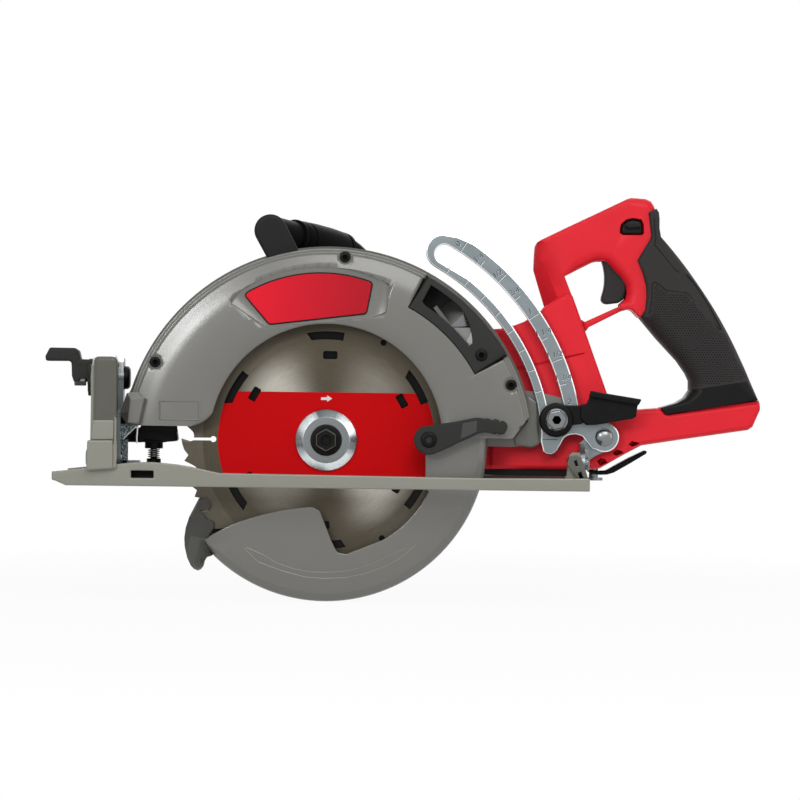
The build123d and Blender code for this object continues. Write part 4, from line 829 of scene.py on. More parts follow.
def cover_side(point):
    """The rim's dome and bead lines, a lip that rolls into the opening, or a plain round edge at the ends."""
    x, z, *zone = point
    if zone:
        return list(reversed(COVER_DOME)) + COVER_INSIDE
    front = stepped(COVER_R - math.dist((x, z), GUARD), *COVER_DOME)
    if math.dist((x, z), ARBOR) < OPENING_R + 0.1:
        angle = math.degrees(math.atan2(z - ARBOR[1], x))
        wide = max(2.4, min(11.0, 2.4 + 0.8 * min(angle - 2.0, 165.0 - angle)))
        return rounded_side(front, COVER_BACK, (wide, 1.2 + 0.12 * wide), 0.3, 11)
    return rounded_side(front, max(COVER_BACK, front + 2.0), (2.4, 1.2), 0.3, 11)


SCREW_POCKET = [(0.0, -24.0), (6.4, -24.0), (4.7, -14.2), (4.5, -12.6), (0.0, -12.6)]
FIELD = [(-105.2, 42.0), (-80.0, 42.0), (-80.0, 53.6), (-105.2, 53.6)]
LUMP_FACE = [(-123.6, 54.5), (-115.4, 55.6), (-114.9, 55.2), (-118.2, 39.4), (-125.2, 39.5), (-124.4, 46.9)]
LUMP_EDGE = [(-126.2, 58.3, -14.6), (-119.0, 59.5, -14.6), (-114.2, 55.4, -15.8), (-117.6, 38.5, -15.8),
             (-125.8, 38.4, -15.4), (-130.4, 45.6, -13.4)]


def front_lump():
    """The block that stands out at the cover's front end."""
    lump = Form()
    front = lump.ring([(x, -20.4, z) for x, z in LUMP_FACE])
    edge = lump.ring([(x, y, z) for x, z, y in LUMP_EDGE])
    foot = lump.ring([(x, -9.0, z) for x, z, _ in LUMP_EDGE])
    lump.band(front, edge)
    lump.band(edge, foot)
    lump.cap([front])
    lump.cap([foot])
    return bevelled(lump.mesh(FINISH["cast_grey"], angle=0.0), 0.7, 3, 12.0)


def guard_cover():
    """The cast cover with its screw pockets, the name plate's recess and a field with a raised border."""
    grey = FINISH["cast_grey"]
    rim = zone(0, *arc(COVER_R, -3.0, 183.0, GUARD, 1.5))
    front_end = [(-128.6, -6.0), (-88.0, -6.0), (-87.0, 33.0), (-83.6, 38.0), (-79.6, 39.6), (-76.2, 41.6),
                 (-73.6, 44.0)]
    outline = rim + front_end + arc(OPENING_R, 167.0, -9.0) + [(72.6, -6.0), (131.0, -6.0)]
    mesh = Form().plate(outline, cover_side).mesh(grey, angle=0.0)
    tool = Form()
    for end in ([(50.0, 32.5), (118.0, 32.5), (122.6, 38.7), (128.6, 46.9), (150.0, 46.9), (150.0, -20.0),
                 (50.0, -20.0)],
                [(-150.0, 38.0), (-70.0, 37.8), (-70.0, -20.0), (-150.0, -20.0)]):
        tool.plate(end, [(0.0, -40.0), (0.0, 10.0)])
    for place in GUARD_SCREWS:
        tool.lathe(place, SCREW_POCKET, 32)
    recess = [(-63.2, 116.9), (-38.6, 100.6), (29.2, 108.0), (37.5, 110.6), (39.6, 129.4),
              *bend((34.8, 131.4), (-13.0, 139.6), (-60.6, 120.2))[:-1]]
    tool.plate(eased(recess, 2.4), [(-0.4, -20.0), (0.0, -16.0), (0.7, RECESS_FLOOR)])
    sector = arc(105.5, 29.0, 62.0, GUARD) + arc(COVER_R + 6.0, 62.0, 29.0, GUARD)
    tool.plate(sector, [(0.0, -30.0), (0.0, -6.0)])
    mesh = cut(mesh, tool, grey)
    border = bead(line_on(mesh, FIELD, 0.8, True), 0.55, grey, closed=True)
    finished("guard_cover", Form().add(mesh).add(front_lump()).add(border), grey)


def name_plate():
    top = bend((27.9, 129.8), (-11.6, 135.0), (-52.5, 121.5))
    outline = eased([(-52.5, 121.5), (-36.5, 103.1), (24.3, 110.6), *top[:-1]], 2.4)
    form = Form().plate(outline, rounded_side(-15.0, RECESS_FLOOR, 0.4))
    # A dark band under the plate's edge, painted shade in the gap round it.
    form.plate(outline, [(-0.8, -14.4), (-0.8, -13.7)], finish=1)
    finished("name_plate", form, SIGN_RED, PAINTED_SHADE)


INSERT_DOME = [(0.0, -7.5), (0.5, -11.0), (1.2, -12.6), (2.2, -13.4), (4.6, -14.0), (24.0, -15.4)]


def insert_side(point):
    x, z, *zone = point
    if zone:
        return list(reversed(INSERT_DOME[:-1])) + [(0.0, -6.3), (2.6, -6.3), (2.8, -10.6), (3.6, -11.3),
                                                   (4.6, -11.6)]
    front = stepped(COVER_R - math.dist((x, z), GUARD), *INSERT_DOME)
    return rounded_side(front, max(COVER_BACK, front + 2.2), 0.6, 0.3, 4)


def chip_insert():
    outline = arc(105.8, 61.8, 29.2, GUARD, 2.0) + zone(0, *arc(COVER_R, 29.4, 61.6, GUARD, 2.0))
    window = [(65.5, 129.2), *bend((72.5, 125.3), (85.8, 112.1), (91.8, 94.6), 8), (91.7, 92.5), (88.8, 89.9),
              *arc(112.3, 38.4, 57.4, GUARD, 2.4), (59.9, 118.5)]
    finished("chip_insert", Form().plate(outline, insert_side, [window]), FINISH["dark_plastic"])


def guard_housing():
    """The motor side of the guard, its paint dark inside as painted shade, with three facets of the chip ramp
    behind the insert's window; their sides and a black plate behind them are painted shade.
    """
    ramp = Form()
    for corners, finish in (([(77.0, 102.2, -9.5), (87.2, 112.0, -9.5), (80.0, 121.0, 1.0),
                              (69.0, 112.6, 1.0)], 1),
                            ([(77.6, 102.8, -9.6), (92.6, 102.6, -6.5), (87.2, 112.0, -9.6)], 2),
                            ([(77.4, 102.3, -9.7), (86.0, 89.0, -8.6), (93.0, 91.0, -9.7),
                              (92.4, 102.3, -9.7)], 1),
                            # A black plate of painted shade behind the window's upper end.
                            ([(57.0, 116.0, 1.2), (70.0, 110.0, 1.2), (82.0, 121.0, 1.2), (66.0, 133.0, 1.2)],
                             3)):
        near = ramp.ring([(x, y, z) for x, z, y in corners])
        far = ramp.ring([(x, 4.0, z) for x, z, y in corners])
        # The ramp's sides and far faces take painted shade.
        ramp.band(near, far, 3)
        ramp.cap([near], finish)
        ramp.cap([far], 3)
    mesh = welded("guard_housing")
    mesh.materials.append(HOUSING_PAINT)
    corner = Form().plate([(80.0, 33.0), (121.0, 33.0), (121.0, 20.0), (80.0, 20.0)],
                          [(0.0, -30.0), (0.0, 18.6)])
    ramp.add(cut(bevelled(mesh, 0.8), corner, HOUSING_PAINT))
    finished("guard_housing", ramp, HOUSING_PAINT, RAMP_METAL, CHROME, PAINTED_SHADE)


def star(radius, depth, points=6, steps=8):
    """A six-lobed drive recess."""
    count = points * steps
    return [polar(radius - depth * 0.5 * (1 - math.cos(2 * math.pi * k / steps)), 360.0 * k / count,
                  (0.0, 0.0))
            for k in range(count)]


def drive_screw(centre, radius, front, back, drive):
    """A screw head with a domed edge and a star drive recess."""
    def side(point):
        wide = radius * 0.32 if math.dist(point, centre) > drive + 0.3 else 0.1
        return [(wide, front), (wide * 0.35, front + 0.25), (0.0, front + 0.8), (0.0, back)]

    recess = [(centre[0] + x, centre[1] + z) for x, z in star(drive, drive * 0.3)]
    form = Form().plate(circle(radius, centre, 36), side, [recess])
    # The recess floor takes the second finish, deep black as painted shade in the recess.
    form.plate(circle(drive + 0.2, centre, 36), [(0.0, front + 1.3), (0.0, back)], finish=1)
    return form


def guard_screws():
    form = Form()
    for k, (x, z) in enumerate(GUARD_SCREWS + [INSERT_SCREW]):
        back = -14.7 if k == 3 else -12.7
        form.add(drive_screw((x, z), 3.8, back - 1.6, back, 1.9).mesh(angle=0.0))
    finished("guard_screws", form, FINISH["black_steel"], DEEP_BLACK)


LOWER_DOME = [(0.0, -5.0), (0.4, -6.6), (1.2, -7.8), (2.4, -8.8), (4.4, -9.9), (5.6, -10.9),
              (18.0, LOWER_FACE)]
LOWER_INSIDE = [(0.0, 7.2), (0.3, 7.5), (2.2, 7.5), (2.2, -5.0), (3.2, -6.4), (5.0, -8.2), (18.0, -9.9)]
LEVER_SCREW = (65.0, 31.2)
NOSE_EDGE = [(-80.2, -7.8), (-86.2, -19.6), (-88.4, -26.7), (-89.2, -33.1), (-88.9, -38.4), (-87.3, -45.4),
             (-84.9, -50.6), (-82.9, -52.6), (-80.2, -53.7), (-78.5, -52.9), (-76.9, -50.8), (-76.2, -47.6),
             (-74.8, -45.2), (-71.8, -44.2)]
NOSE_RIDGE = [(-79.4, -8.4, -5.6), (-85.0, -19.6, -6.8), (-85.7, -24.3, -7.0), (-85.2, -31.4, -8.2),
              (-86.6, -38.4, -8.6), (-85.2, -45.0, -8.6), (-82.6, -49.8, -8.6), (-81.4, -51.4, -8.6),
              (-79.6, -52.2, -8.6), (-79.0, -51.6, -8.6), (-78.9, -49.8, -8.8), (-78.6, -46.6, -9.2),
              (-78.2, -42.0, -10.0), (-77.6, -36.4, -10.6)]
NOSE_INNER = [(-75.8, -8.2, -4.6), (-73.7, -9.8, -4.2), (-72.9, -12.4, -4.0), (-74.0, -14.7, -4.0),
              (-79.5, -15.4, -4.6), (-77.7, -18.0, -4.2), (-75.6, -20.6, -3.8), (-70.6, -23.0, -3.6),
              (-70.9, -27.0, -3.8), (-75.2, -33.2, -6.0)]
ARROW_HEAD = [(-38.5, -43.2), (-48.9, -38.5), (-51.0, -39.1), (-41.1, -48.3), (-40.7, -47.9)]
ARROW_LINES = [[(-38.5, -43.2), (-30.1, -48.0), (-19.1, -51.7), (-7.2, -53.5), (4.7, -53.5), (16.5, -52.1),
                (29.2, -48.1), (40.1, -42.9), (51.9, -37.2)],
               [(-40.7, -47.9), (-34.3, -50.4), (-25.8, -53.2), (-12.2, -56.7), (-0.3, -57.5), (13.2, -56.8),
                (25.0, -54.3), (38.5, -49.3), (48.6, -43.6), (57.6, -35.3)]]


def lower_side(point):
    x, z, *zone = point
    if zone:
        return list(reversed(LOWER_DOME)) + LOWER_INSIDE
    front = stepped(LOWER_R - math.dist((x, z), ARBOR), *LOWER_DOME)
    return rounded_side(front, front + 1.9, 0.9, 0.3, 6)


def nose(form):
    """The lip at the front of the lower guard: a bevelled edge, a dished upper half and a web to the wall."""
    back = -3.3
    outer = form.ring([(x, -5.0, z) for x, z in NOSE_EDGE])
    foot = form.ring([(x, back, z) for x, z in NOSE_EDGE])
    ridge = form.ring([(x, y, z) for x, z, y in NOSE_RIDGE])
    inner = form.ring([(x, y, z) for x, z, y in NOSE_INNER])
    low = form.ring([(x, back, z) for x, z, _ in NOSE_INNER])
    crease = form.ring([(-79.0, -8.0, -32.6)])[0]
    wall = form.ring([(-71.6, -9.4, -44.0), (-75.6, -10.0, -35.4)])
    wall_low = form.ring([(-71.6, back, -44.0)])[0]
    skin = form.work.faces.new
    for a, b in pairwise(range(len(ridge))):
        skin((outer[a], outer[b], ridge[b], ridge[a]))
        skin((foot[a], foot[b], outer[b], outer[a]))
    for a, b in pairwise(range(len(inner))):
        skin((low[a], low[b], inner[b], inner[a]))
    skin((*ridge[:4], crease, *reversed(inner)))
    skin((*ridge[3:], inner[-1], crease))
    skin((outer[-1], wall[0], wall[1], ridge[-1]))
    skin((ridge[-1], wall[1], inner[-1]))
    skin((outer[0], ridge[0], inner[0], low[0], foot[0]))
    skin((foot[-1], wall_low, wall[0], outer[-1]))
    skin((wall_low, low[-1], inner[-1], wall[1], wall[0]))
    skin((*foot, wall_low, *reversed(low)))


def lower_guard():
    finishes = (FINISH["cast_grey"], NOSE_SHADE, ARROW_PAINT, HUB_PAINT)
    form = Form()
    rim = zone(0, *arc(LOWER_R, -133.0, 22.0, ARBOR, 2.0))
    inner = [polar(97.5, 22.0), polar(75.0, 22.0), polar(75.0, 5.0),
             *arc(7.4, 20.0, 250.0, LEVER_SCREW, 15.0), (63.0, 23.0), (63.0, 1.0), *arc(72.5, -26.0, -58.0),
             *eased([polar(72.5, -60.0), (13.5, -41.9), (7.8, -40.7), (3.9, -33.1), (-3.2, -14.9),
                     (-7.7, -12.4), (-12.0, -12.5)], 3.0, closed=False),
             *bend((-12.0, -12.5), (-36.0, -16.6), (-59.1, -23.9))[1:], (-70.7, -30.1), (-76.2, -34.2),
             (-76.4, -36.0)]
    form.plate(rim + inner, lower_side)
    hub = [*arc(LOWER_R - 0.2, -133.5, 22.0, ARBOR), *arc(30.0, 22.0, 194.0, ARBOR, 6.0),
           *arc(81.0, 194.0, 207.0, ARBOR, 2.0), *arc(94.0, 208.0, 224.0, ARBOR, 2.0)]
    # The hub wall takes the hub paint, dark in front as painted shade seen through the blade's windows.
    form.plate(hub, rounded_side(5.5, 7.5, 0.3), [circle(24.1, ARBOR, 60)], finish=3)
    known = len(form.work.faces)
    nose(form)
    upper = [(-75.8, -8.2), (-73.7, -9.8), (-72.9, -12.4), (-70.6, -23.0), (-70.9, -27.0), (-72.0, -38.0)]
    form.plate(NOSE_EDGE + list(reversed(upper)), rounded_side(3.3, 7.5, 0.4, 1.6))
    form.plate(NOSE_EDGE[2:] + arc(95.4, -133.0, -147.0), rounded_side(-3.5, 3.5, 0.1))
    # The nose and the walls behind it take the nose's painted shade.
    form.work.faces.ensure_lookup_table()
    for face in form.work.faces[known:]:
        face.material_index = 1
    base = form.mesh(*finishes)
    whole = Form().add(base)
    for path, radius in ((ARROW_HEAD, 0.24), (ARROW_LINES[0], 0.17), (ARROW_LINES[1], 0.24)):
        whole.add(bead(line_on(base, path, 3.0), radius, ARROW_PAINT), 2)
    finished("lower_guard", whole, *finishes)


def guard_lever():
    under = eased([(76.6, 25.9), (84.0, 29.7), (92.3, 33.5), (96.4, 35.5), (100.6, 36.3)], 6.0, closed=False)
    tip = [(105.0, 35.7), (106.6, 35.0), (108.4, 35.8), (109.8, 34.9), (112.2, 35.3), (114.0, 37.7),
           (114.6, 40.2), (113.9, 42.3), (111.6, 43.8), (109.5, 42.9), (109.0, 44.1), (107.0, 44.8),
           (105.1, 44.0), (101.9, 45.3)]
    upper = eased([(100.5, 44.8), (95.8, 45.5), (92.6, 45.1), (82.9, 43.0), (70.4, 41.0)], 6.0, closed=False)
    outline = [*arc(9.5, 122.0, 290.0, LEVER_SCREW, 8.0), *under, *tip, *upper]
    form = Form().plate(outline, rounded_side(-23.6, -17.3, (0.9, 0.9), 0.6))
    # A lighter facet on the lever, painted highlight.
    face = [(86.2, 41.8), (95.2, 43.6), (95.0, 36.6), (84.9, 31.8)]
    form.plate(eased(face, 0.5, 2), [(0.2, -23.75), (0.0, -23.6), (0.0, -22.0)], finish=1)
    form.lathe(LEVER_SCREW, [(0.0, -18.0), (6.0, -18.0), (6.0, -11.9), (0.0, -11.9)], 32)
    finished("guard_lever", form, FINISH["dark_plastic"], LEVER_HIGHLIGHT)
    screw = drive_screw(LEVER_SCREW, 5.2, -24.6, -22.0, 2.6)
    screw.lathe(LEVER_SCREW, [(0.0, -22.4), (2.4, -22.4), (2.4, -12.4), (0.0, -12.4)], 24)
    finished("guard_lever_screw", screw, FINISH["black_steel"])


# Blade


TEETH = 24
TOOTH = [(0.0, 92.1), (2.4, 91.4), (4.6, 90.4), (6.9, 88.1), (9.0, 91.1), (11.0, 86.8), (12.3, 84.6),
         (13.8, 83.9), (15.2, 84.2), (16.2, 86.2), (15.6, 89.6)]
GULLET = 15.2
SLOTTED_TEETH = (3, 11, 19)


def turned(u, v, angle):
    """A point u out from the arbor and v across, turned by an angle."""
    c, s = math.cos(math.radians(angle)), math.sin(math.radians(angle))
    return (ARBOR[0] + u * c - v * s, ARBOR[1] + u * s + v * c)


def blade_outline():
    """Teeth with a kickback limiter behind each, and three expansion slots that end in a keyhole."""
    keyhole = [(71.7 + x, z) for x, z in arc(1.95, -25.8, -334.2, (0.0, 0.0), 30.0)]
    points = []
    for k in range(TEETH):
        for angle, radius in TOOTH:
            here = k * 360.0 / TEETH + angle
            if angle == GULLET and k in SLOTTED_TEETH:
                points += [turned(u, v, here) for u, v in [(radius, -0.85), *keyhole, (radius, 0.85)]]
            else:
                points.append(polar(radius, here))
    return points


def saw_blade():
    windows = []
    for k in range(6):
        a = 90.0 + 60.0 * k
        windows.append(arc(69.0, a - 9.0, a + 11.0) + arc(64.0, a + 9.0, a - 9.0))
        slot = [(51.5, -4.5), (56.5, -4.5), (56.5, 4.5), (51.5, 4.5)]
        windows.append([turned(u, v - 1.9, a) for u, v in eased(slot, 1.2)])
    windows.append(circle(8.0, ARBOR, 45))
    form = Form().plate(blade_outline(), [(0.1, -0.6), (0.0, -0.5), (0.0, 0.5), (0.1, 0.6)], windows)
    tip = Form().plate([(92.1, 0.0), (91.8, 1.4), (87.4, 3.0), (87.0, 1.5)], [(0.0, -0.92), (0.0, 0.92)])
    places = [((ARBOR[0], 0.0, ARBOR[1]), (0.0, -2 * math.pi * k / TEETH, 0.0)) for k in range(TEETH)]
    form.add(spread(places, tip.mesh(FINISH["machined_steel"], angle=0.0), FINISH["machined_steel"]), 1)
    finished("saw_blade", form, FINISH["blade_steel"], CARBIDE_AND_HIGHLIGHT)


def hexagon_side(centre, front, back, outer, inner):
    """The edge of a six-sided head: a wide chamfer outside, a narrow one round its hole."""
    def side(point):
        wide = outer if math.dist(point, centre) > 4.0 else inner
        return [(wide, front), (wide * 0.4, front + 0.2), (0.0, front + 0.8), (0.0, back)]

    return side


def blade_centre():
    flange = [(8.0, -0.7), (19.2, -0.7), (19.5, -1.0), (19.5, -2.2), (19.2, -2.6), (14.9, -5.8), (14.4, -6.0),
              (8.0, -6.0)]
    finished("outer_flange", Form().lathe(ARBOR, flange, 96), FLANGE_METAL)
    form = Form()
    form.lathe(ARBOR, [(0.0, -6.0), (9.7, -6.0), (10.0, -6.3), (10.0, -7.4), (9.7, -7.9), (8.9, -8.2),
                       (0.0, -8.2)], 64)
    hexagon = eased(circle(7.6, ARBOR, 6, 30.0), 0.6, 2)
    form.plate(hexagon, hexagon_side(ARBOR, -14.0, -8.0, 1.0, 0.3), [circle(3.0, ARBOR, 24)])
    # Lighter lines along the hexagon's edges: painted highlight.
    edge = bead([(x * 0.9, -13.9, ARBOR[1] + (z - ARBOR[1]) * 0.9) for x, z in hexagon], 0.2, CARBIDE_AND_HIGHLIGHT, True)
    form.add(edge, 1)
    form.lathe(ARBOR, [(0.0, -11.6), (3.1, -11.6), (3.1, -10.0), (0.0, -10.0)], 32)
    finished("blade_bolt", form, FINISH["black_steel"], CARBIDE_AND_HIGHLIGHT)
    arrow = [(-3.6, 55.4), (0.4, 55.4), (0.2, 54.2), (3.4, 56.4), (0.2, 58.4), (0.4, 57.2), (-3.6, 57.0)]
    form = Form().plate(arrow, [(0.0, -0.68), (0.0, -0.55)])
    piece("blade_arrow", form.mesh(WHITE_PRINT), None, "blade_spindle")


# Rear body


def body_outline():
    """The red C of the rear body and handle: underside, back, hand hole, top and front."""
    return [*zone("under", (60.0, 12.4), (166.0, 12.4), (175.0, 13.7), (188.9, 21.9), (201.3, 28.7),
                  (226.1, 32.7)),
            *zone("round", (270.0, 39.4), (273.0, 41.6), (277.6, 52.4), (277.6, 55.8)),
            *zone("seam", (276.4, 58.2), (217.0, 49.8)),
            *zone("hole", (213.4, 53.0), (183.0, 50.6), (178.6, 62.4), (164.3, 101.5), (155.9, 124.2),
                  (151.0, 136.6)),
            *zone("lip", (159.0, 140.8), (168.9, 145.9), (171.7, 146.6), (175.0, 146.8), (178.2, 146.0),
                  (182.2, 141.7), (187.8, 135.7), (190.4, 131.3), (190.8, 126.3), (189.9, 122.6)),
            *zone("hole", (186.6, 119.2), (187.0, 114.8), (191.7, 116.2), (194.5, 115.4), (199.0, 110.8)),
            *zone("seam", (202.2, 111.4), (204.4, 116.0), (205.4, 122.4), (205.2, 131.0), (203.0, 140.0),
                  (199.6, 147.6), (207.6, 161.6), (207.0, 169.4), (206.4, 177.0)),
            *zone("round", (208.6, 180.6), (207.7, 182.9), (206.0, 185.4), (202.7, 187.0), (193.3, 187.6)),
            *zone("crest", (190.5, 186.6), (169.6, 176.4), (151.0, 167.4), (144.0, 163.9)),
            *zone("neck", (135.8, 159.8), (133.3, 158.2), (132.0, 155.5), (131.5, 147.7), (131.3, 140.5),
                  (134.8, 128.9), (138.5, 117.1)),
            *zone("round", (136.3, 113.0), (125.1, 107.0), (119.2, 104.6), (109.9, 102.4), (58.0, 102.0),
                  (42.8, 85.0)),
            *zone("round", *bend((42.8, 85.0), (57.5, 51.65), (46.3, 22.0))[1:])]


EDGE_ROUND = {"crest": (2.4, 3.2), "neck": (1.0, 1.0), "under": (4.0, 2.4), "round": (5.4, 7.0),
              "seam": (0.6, 0.6), "hole": (1.4, 2.2), "lip": (7.2, 7.4)}


def body_side(point):
    wide, deep = EDGE_ROUND[point[2]]
    return quarter(wide, deep, BODY_FACE, 5) + [(0.0, SPLIT_Y - 0.4), (0.35, SPLIT_Y - 0.05)]


NECK_RIDGE = [(133.2, 159.2, 0.0), (142.9, 157.5, 0.0), (146.3, 153.3, 0.0), (151.2, 137.2, -0.2),
              (158.0, 120.0, -0.2)]
NECK_FOLD = [(132.8, 158.2, 1.8), (134.6, 157.0, 2.4), (135.6, 146.3, 2.7), (138.4, 144.0, 2.9),
             (148.4, 118.5, 3.2)]
NECK_EDGE = [(130.2, 160.0, 17.0), (129.0, 156.8, 17.0), (128.7, 147.0, 17.0), (128.7, 139.6, 17.0),
             (137.2, 111.5, 17.0)]


def neck_cut():
    """The tool that leaves a lit facet and a steep one on the neck between the arm and the lower body."""
    tool = Form()
    lines = []
    for points in (NECK_RIDGE, NECK_FOLD, NECK_EDGE):
        lines.append(tool.ring([(x, BODY_FACE + y, z) for x, z, y in points]))
    ridge, fold, edge = lines
    for first, second in ((ridge, fold), (fold, edge)):
        for k in range(4):
            tool.work.faces.new((first[k], first[k + 1], second[k + 1], second[k]))
    rim = [*ridge, fold[4], *reversed(edge), fold[0]]
    top = tool.ring([(v.co.x / MM, BODY_FACE - 12.0, v.co.z / MM) for v in rim])
    tool.band(rim, top)
    tool.cap([top])
    return tool


STRUT = [(161.6, 109.6), (164.4, 107.6), (186.0, 117.6), (190.0, 118.2), (193.0, 117.6), (192.2, 116.0),
         (187.4, 114.6), (167.2, 104.2), (164.6, 100.6)]
LOWER_BODY = [(104.0, 12.8), (166.0, 12.8), (175.0, 14.1), (188.7, 22.3), (201.1, 29.1), (226.0, 33.1),
              (269.8, 39.8), (272.6, 41.8), (277.2, 52.4), (277.2, 55.4), (275.6, 57.4), (217.4, 48.9),
              (213.2, 52.7), (183.4, 50.3), (178.9, 62.4), (164.6, 101.5), (156.2, 124.2), (153.6, 126.4),
              (147.5, 123.0), (138.4, 117.0), (136.3, 114.3), (125.1, 107.1), (119.2, 104.8), (109.9, 102.5),
              (104.0, 102.2)]
SEAM = [(104.0, 72.2), (122.5, 76.0), (139.0, 79.8), (153.0, 83.9), (164.4, 86.9), (164.2, 87.8),
        (153.0, 85.5), (139.0, 81.8), (122.5, 78.4), (104.0, 74.8)]
VENTS = [[(173.1, 18.4), (175.7, 20.7), (178.3, 19.6), (180.1, 17.4), (175.0, 15.4)],
         [(183.0, 23.7), (185.2, 25.9), (187.8, 25.6), (190.4, 23.8), (185.2, 21.9)],
         [(192.9, 29.3), (195.4, 31.6), (200.2, 30.4), (199.1, 29.2), (195.5, 27.9)]]
TRIGGER_SLOT = [(172.0, 158.0), (172.0, 148.0), (186.0, 118.0), (196.4, 118.6), (198.4, 124.0),
                (198.0, 142.0), (196.5, 156.0)]
BUTTON_WELL = [(186.3, 164.6), (186.2, 166.8), (186.9, 170.1), (190.2, 173.2), (194.6, 174.1), (199.6, 173.3),
               (201.0, 170.3), (201.3, 164.8), (200.3, 163.7), (188.1, 163.5)]


def handle_half(node, flip):
    """One half of the clamshell: the D handle, the thicker lower body and the strut below the trigger."""
    red = FINISH["red_plastic"]
    face = BODY_FACE - 2.2
    tool = Form().plate(BUTTON_WELL, [(-1.2, face - 4.0), (-0.4, BODY_FACE), (0.0, BODY_FACE + 1.0),
                                      (0.4, SPLIT_Y - 3.0)])
    mesh = cut(Form().plate(body_outline(), body_side).mesh(red, angle=0.0), tool, red)
    mesh = cut(mesh, neck_cut(), red)
    side = [(2.6, face), (2.1, face + 0.05), (0.9, face + 0.8), (0.25, face + 1.8), (0.0, face + 3.2),
            (0.0, face + 10.0)]
    lower = Form().plate(eased(LOWER_BODY, 3.2, 3), side).mesh(red, angle=0.0)
    tool = Form().plate(SEAM, [(-0.5, face - 1.6), (0.0, face - 0.1), (0.3, face + 2.4)])
    for vent in VENTS:
        tool.plate(vent, [(-0.3, face - 4.0), (0.0, face + 0.4), (0.2, face + 9.0)])
    lower = cut(lower, tool, red)
    tool = Form()
    for vent in VENTS:
        tool.plate(vent, [(0.0, face - 2.0), (0.2, SPLIT_Y - 4.0)])
    tool.plate(TRIGGER_SLOT, [(0.0, 33.1), (0.0, SPLIT_Y + 1.0)])
    form = Form().add(cut(mesh, tool, red)).add(lower)
    form.block(STRUT, 1.6, 34.0, SPLIT_Y - 0.05, 1.2, 0.2)
    core = [(204.0, 152.0), (209.0, 156.0), (232.0, 126.0), (252.0, 92.0), (262.0, 70.0), (262.0, 56.5),
            (236.0, 53.0), (237.0, 72.0), (212.0, 104.0), (206.0, 118.0), (206.0, 134.0)]
    form.block(core, 3.0, 30.0, SPLIT_Y - 0.05, 3.0, 0.2)
    end = 155.0 if flip else 167.0
    # A dark strip of painted shade along the underside, for the shadowed gap above the shoe.
    strip = [(62.0, 8.6), (end - 7.0, 8.6), (end, 13.4), (62.0, 13.4)]
    form.plate(strip, rounded_side(28.0, SPLIT_Y - 0.05, 0.6, 0.2), finish=1)
    if flip:
        form.flipped()
    finished(node, form, red, PAINTED_SHADE)


GRIP_LEFT = [(206.1, 163.0), (205.0, 160.2), (197.4, 147.3), (200.8, 139.1), (203.1, 131.1), (203.5, 123.2),
             (202.7, 115.8), (200.0, 110.9)]
GRIP_UNDER = [(202.4, 107.2), (210.4, 97.8), (224.0, 83.3), (229.6, 75.4), (231.9, 70.6)]
GRIP_FOOT = [(232.0, 64.6, 8.0, 11.0), (228.9, 59.8, 5.0, 8.0), (223.5, 56.3, 2.6, 4.5),
             (213.4, 53.2, 1.2, 2.0), (216.4, 48.5, 0.6, 1.0), (246.0, 53.4, 0.6, 1.0),
             (275.9, 58.4, 1.2, 2.0), (274.4, 62.4, 4.0, 6.0)]
GRIP_BACK = bend((270.9, 70.9), (247.4, 117.4), (212.5, 162.5), 20)
GRIP_TOP = [(211.4, 168.0), (211.4, 174.0), (210.9, 178.2), (209.2, 180.6), (204.2, 178.0), (205.2, 170.0)]
GRIP_FACE = 23.2


def grip_outline():
    """Points with the width and depth of the rounding at each."""
    wide = [(69.0, 7.5), (86.0, 13.0), (134.0, 13.0), (164.0, 2.0)]
    deep = [(69.0, 9.5), (86.0, 15.0), (134.0, 15.0), (164.0, 3.0)]
    back = [(x, z, stepped(z, *wide), stepped(z, *deep)) for x, z in GRIP_BACK]
    return [*((x, z, 2.2, 2.2) for x, z in GRIP_LEFT), *((x, z, 11.0, 12.0) for x, z in GRIP_UNDER),
            *GRIP_FOOT, *back, *((x, z, 1.8, 2.6) for x, z in GRIP_TOP)]


def grip_side(point):
    fore = quarter(*point[2:], GRIP_FACE, 7)
    return fore + [(i, 2 * SPLIT_Y - y) for i, y in reversed(fore)]


SPINE_LINE = [(207.8, 174.7), (208.1, 167.9), (209.1, 161.8), (208.1, 157.5), (222.5, 140.6), (229.4, 138.2),
              (234.8, 132.4)]
SPINE_SHADE = [(229.4, 138.2), (234.8, 132.4), (244.6, 117.4), (251.4, 104.4)]
PANEL_LINE = [(205.4, 112.6), (207.0, 123.2), (206.9, 131.1), (208.4, 134.1), (216.3, 128.2), (229.6, 126.8),
              (250.4, 103.6), (251.6, 103.4), (251.8, 104.6)]
FOOT_LINE = [(232.4, 64.8), (239.6, 65.4), (252.0, 67.4), (270.4, 70.8)]
DOT_FIELD = [(208.4, 124.0), (208.2, 130.4), (209.0, 132.0), (216.0, 126.8), (229.2, 125.2), (250.4, 101.6),
             (254.0, 101.8), (268.4, 72.6), (252.0, 69.0), (234.0, 66.8), (233.0, 72.0), (225.0, 84.4),
             (206.4, 105.0), (206.6, 113.0)]
DOT_PITCH = 1.75


def grip_dot():
    """One low bump of the grip's grain. The sphere's faces come in any order, so they are sorted."""
    dot = bmesh.new()
    bmesh.ops.create_uvsphere(dot, u_segments=6, v_segments=4, radius=0.62 * MM)
    dot.verts.index_update()
    points = [(v.co.x, v.co.y, v.co.z * 0.55) for v in dot.verts]
    faces = sorted([v.index for v in face.verts] for face in dot.faces)
    dot.free()
    mesh = bpy.data.meshes.new("dot")
    mesh.from_pydata(points, [], faces)
    mesh.shade_smooth()
    return mesh


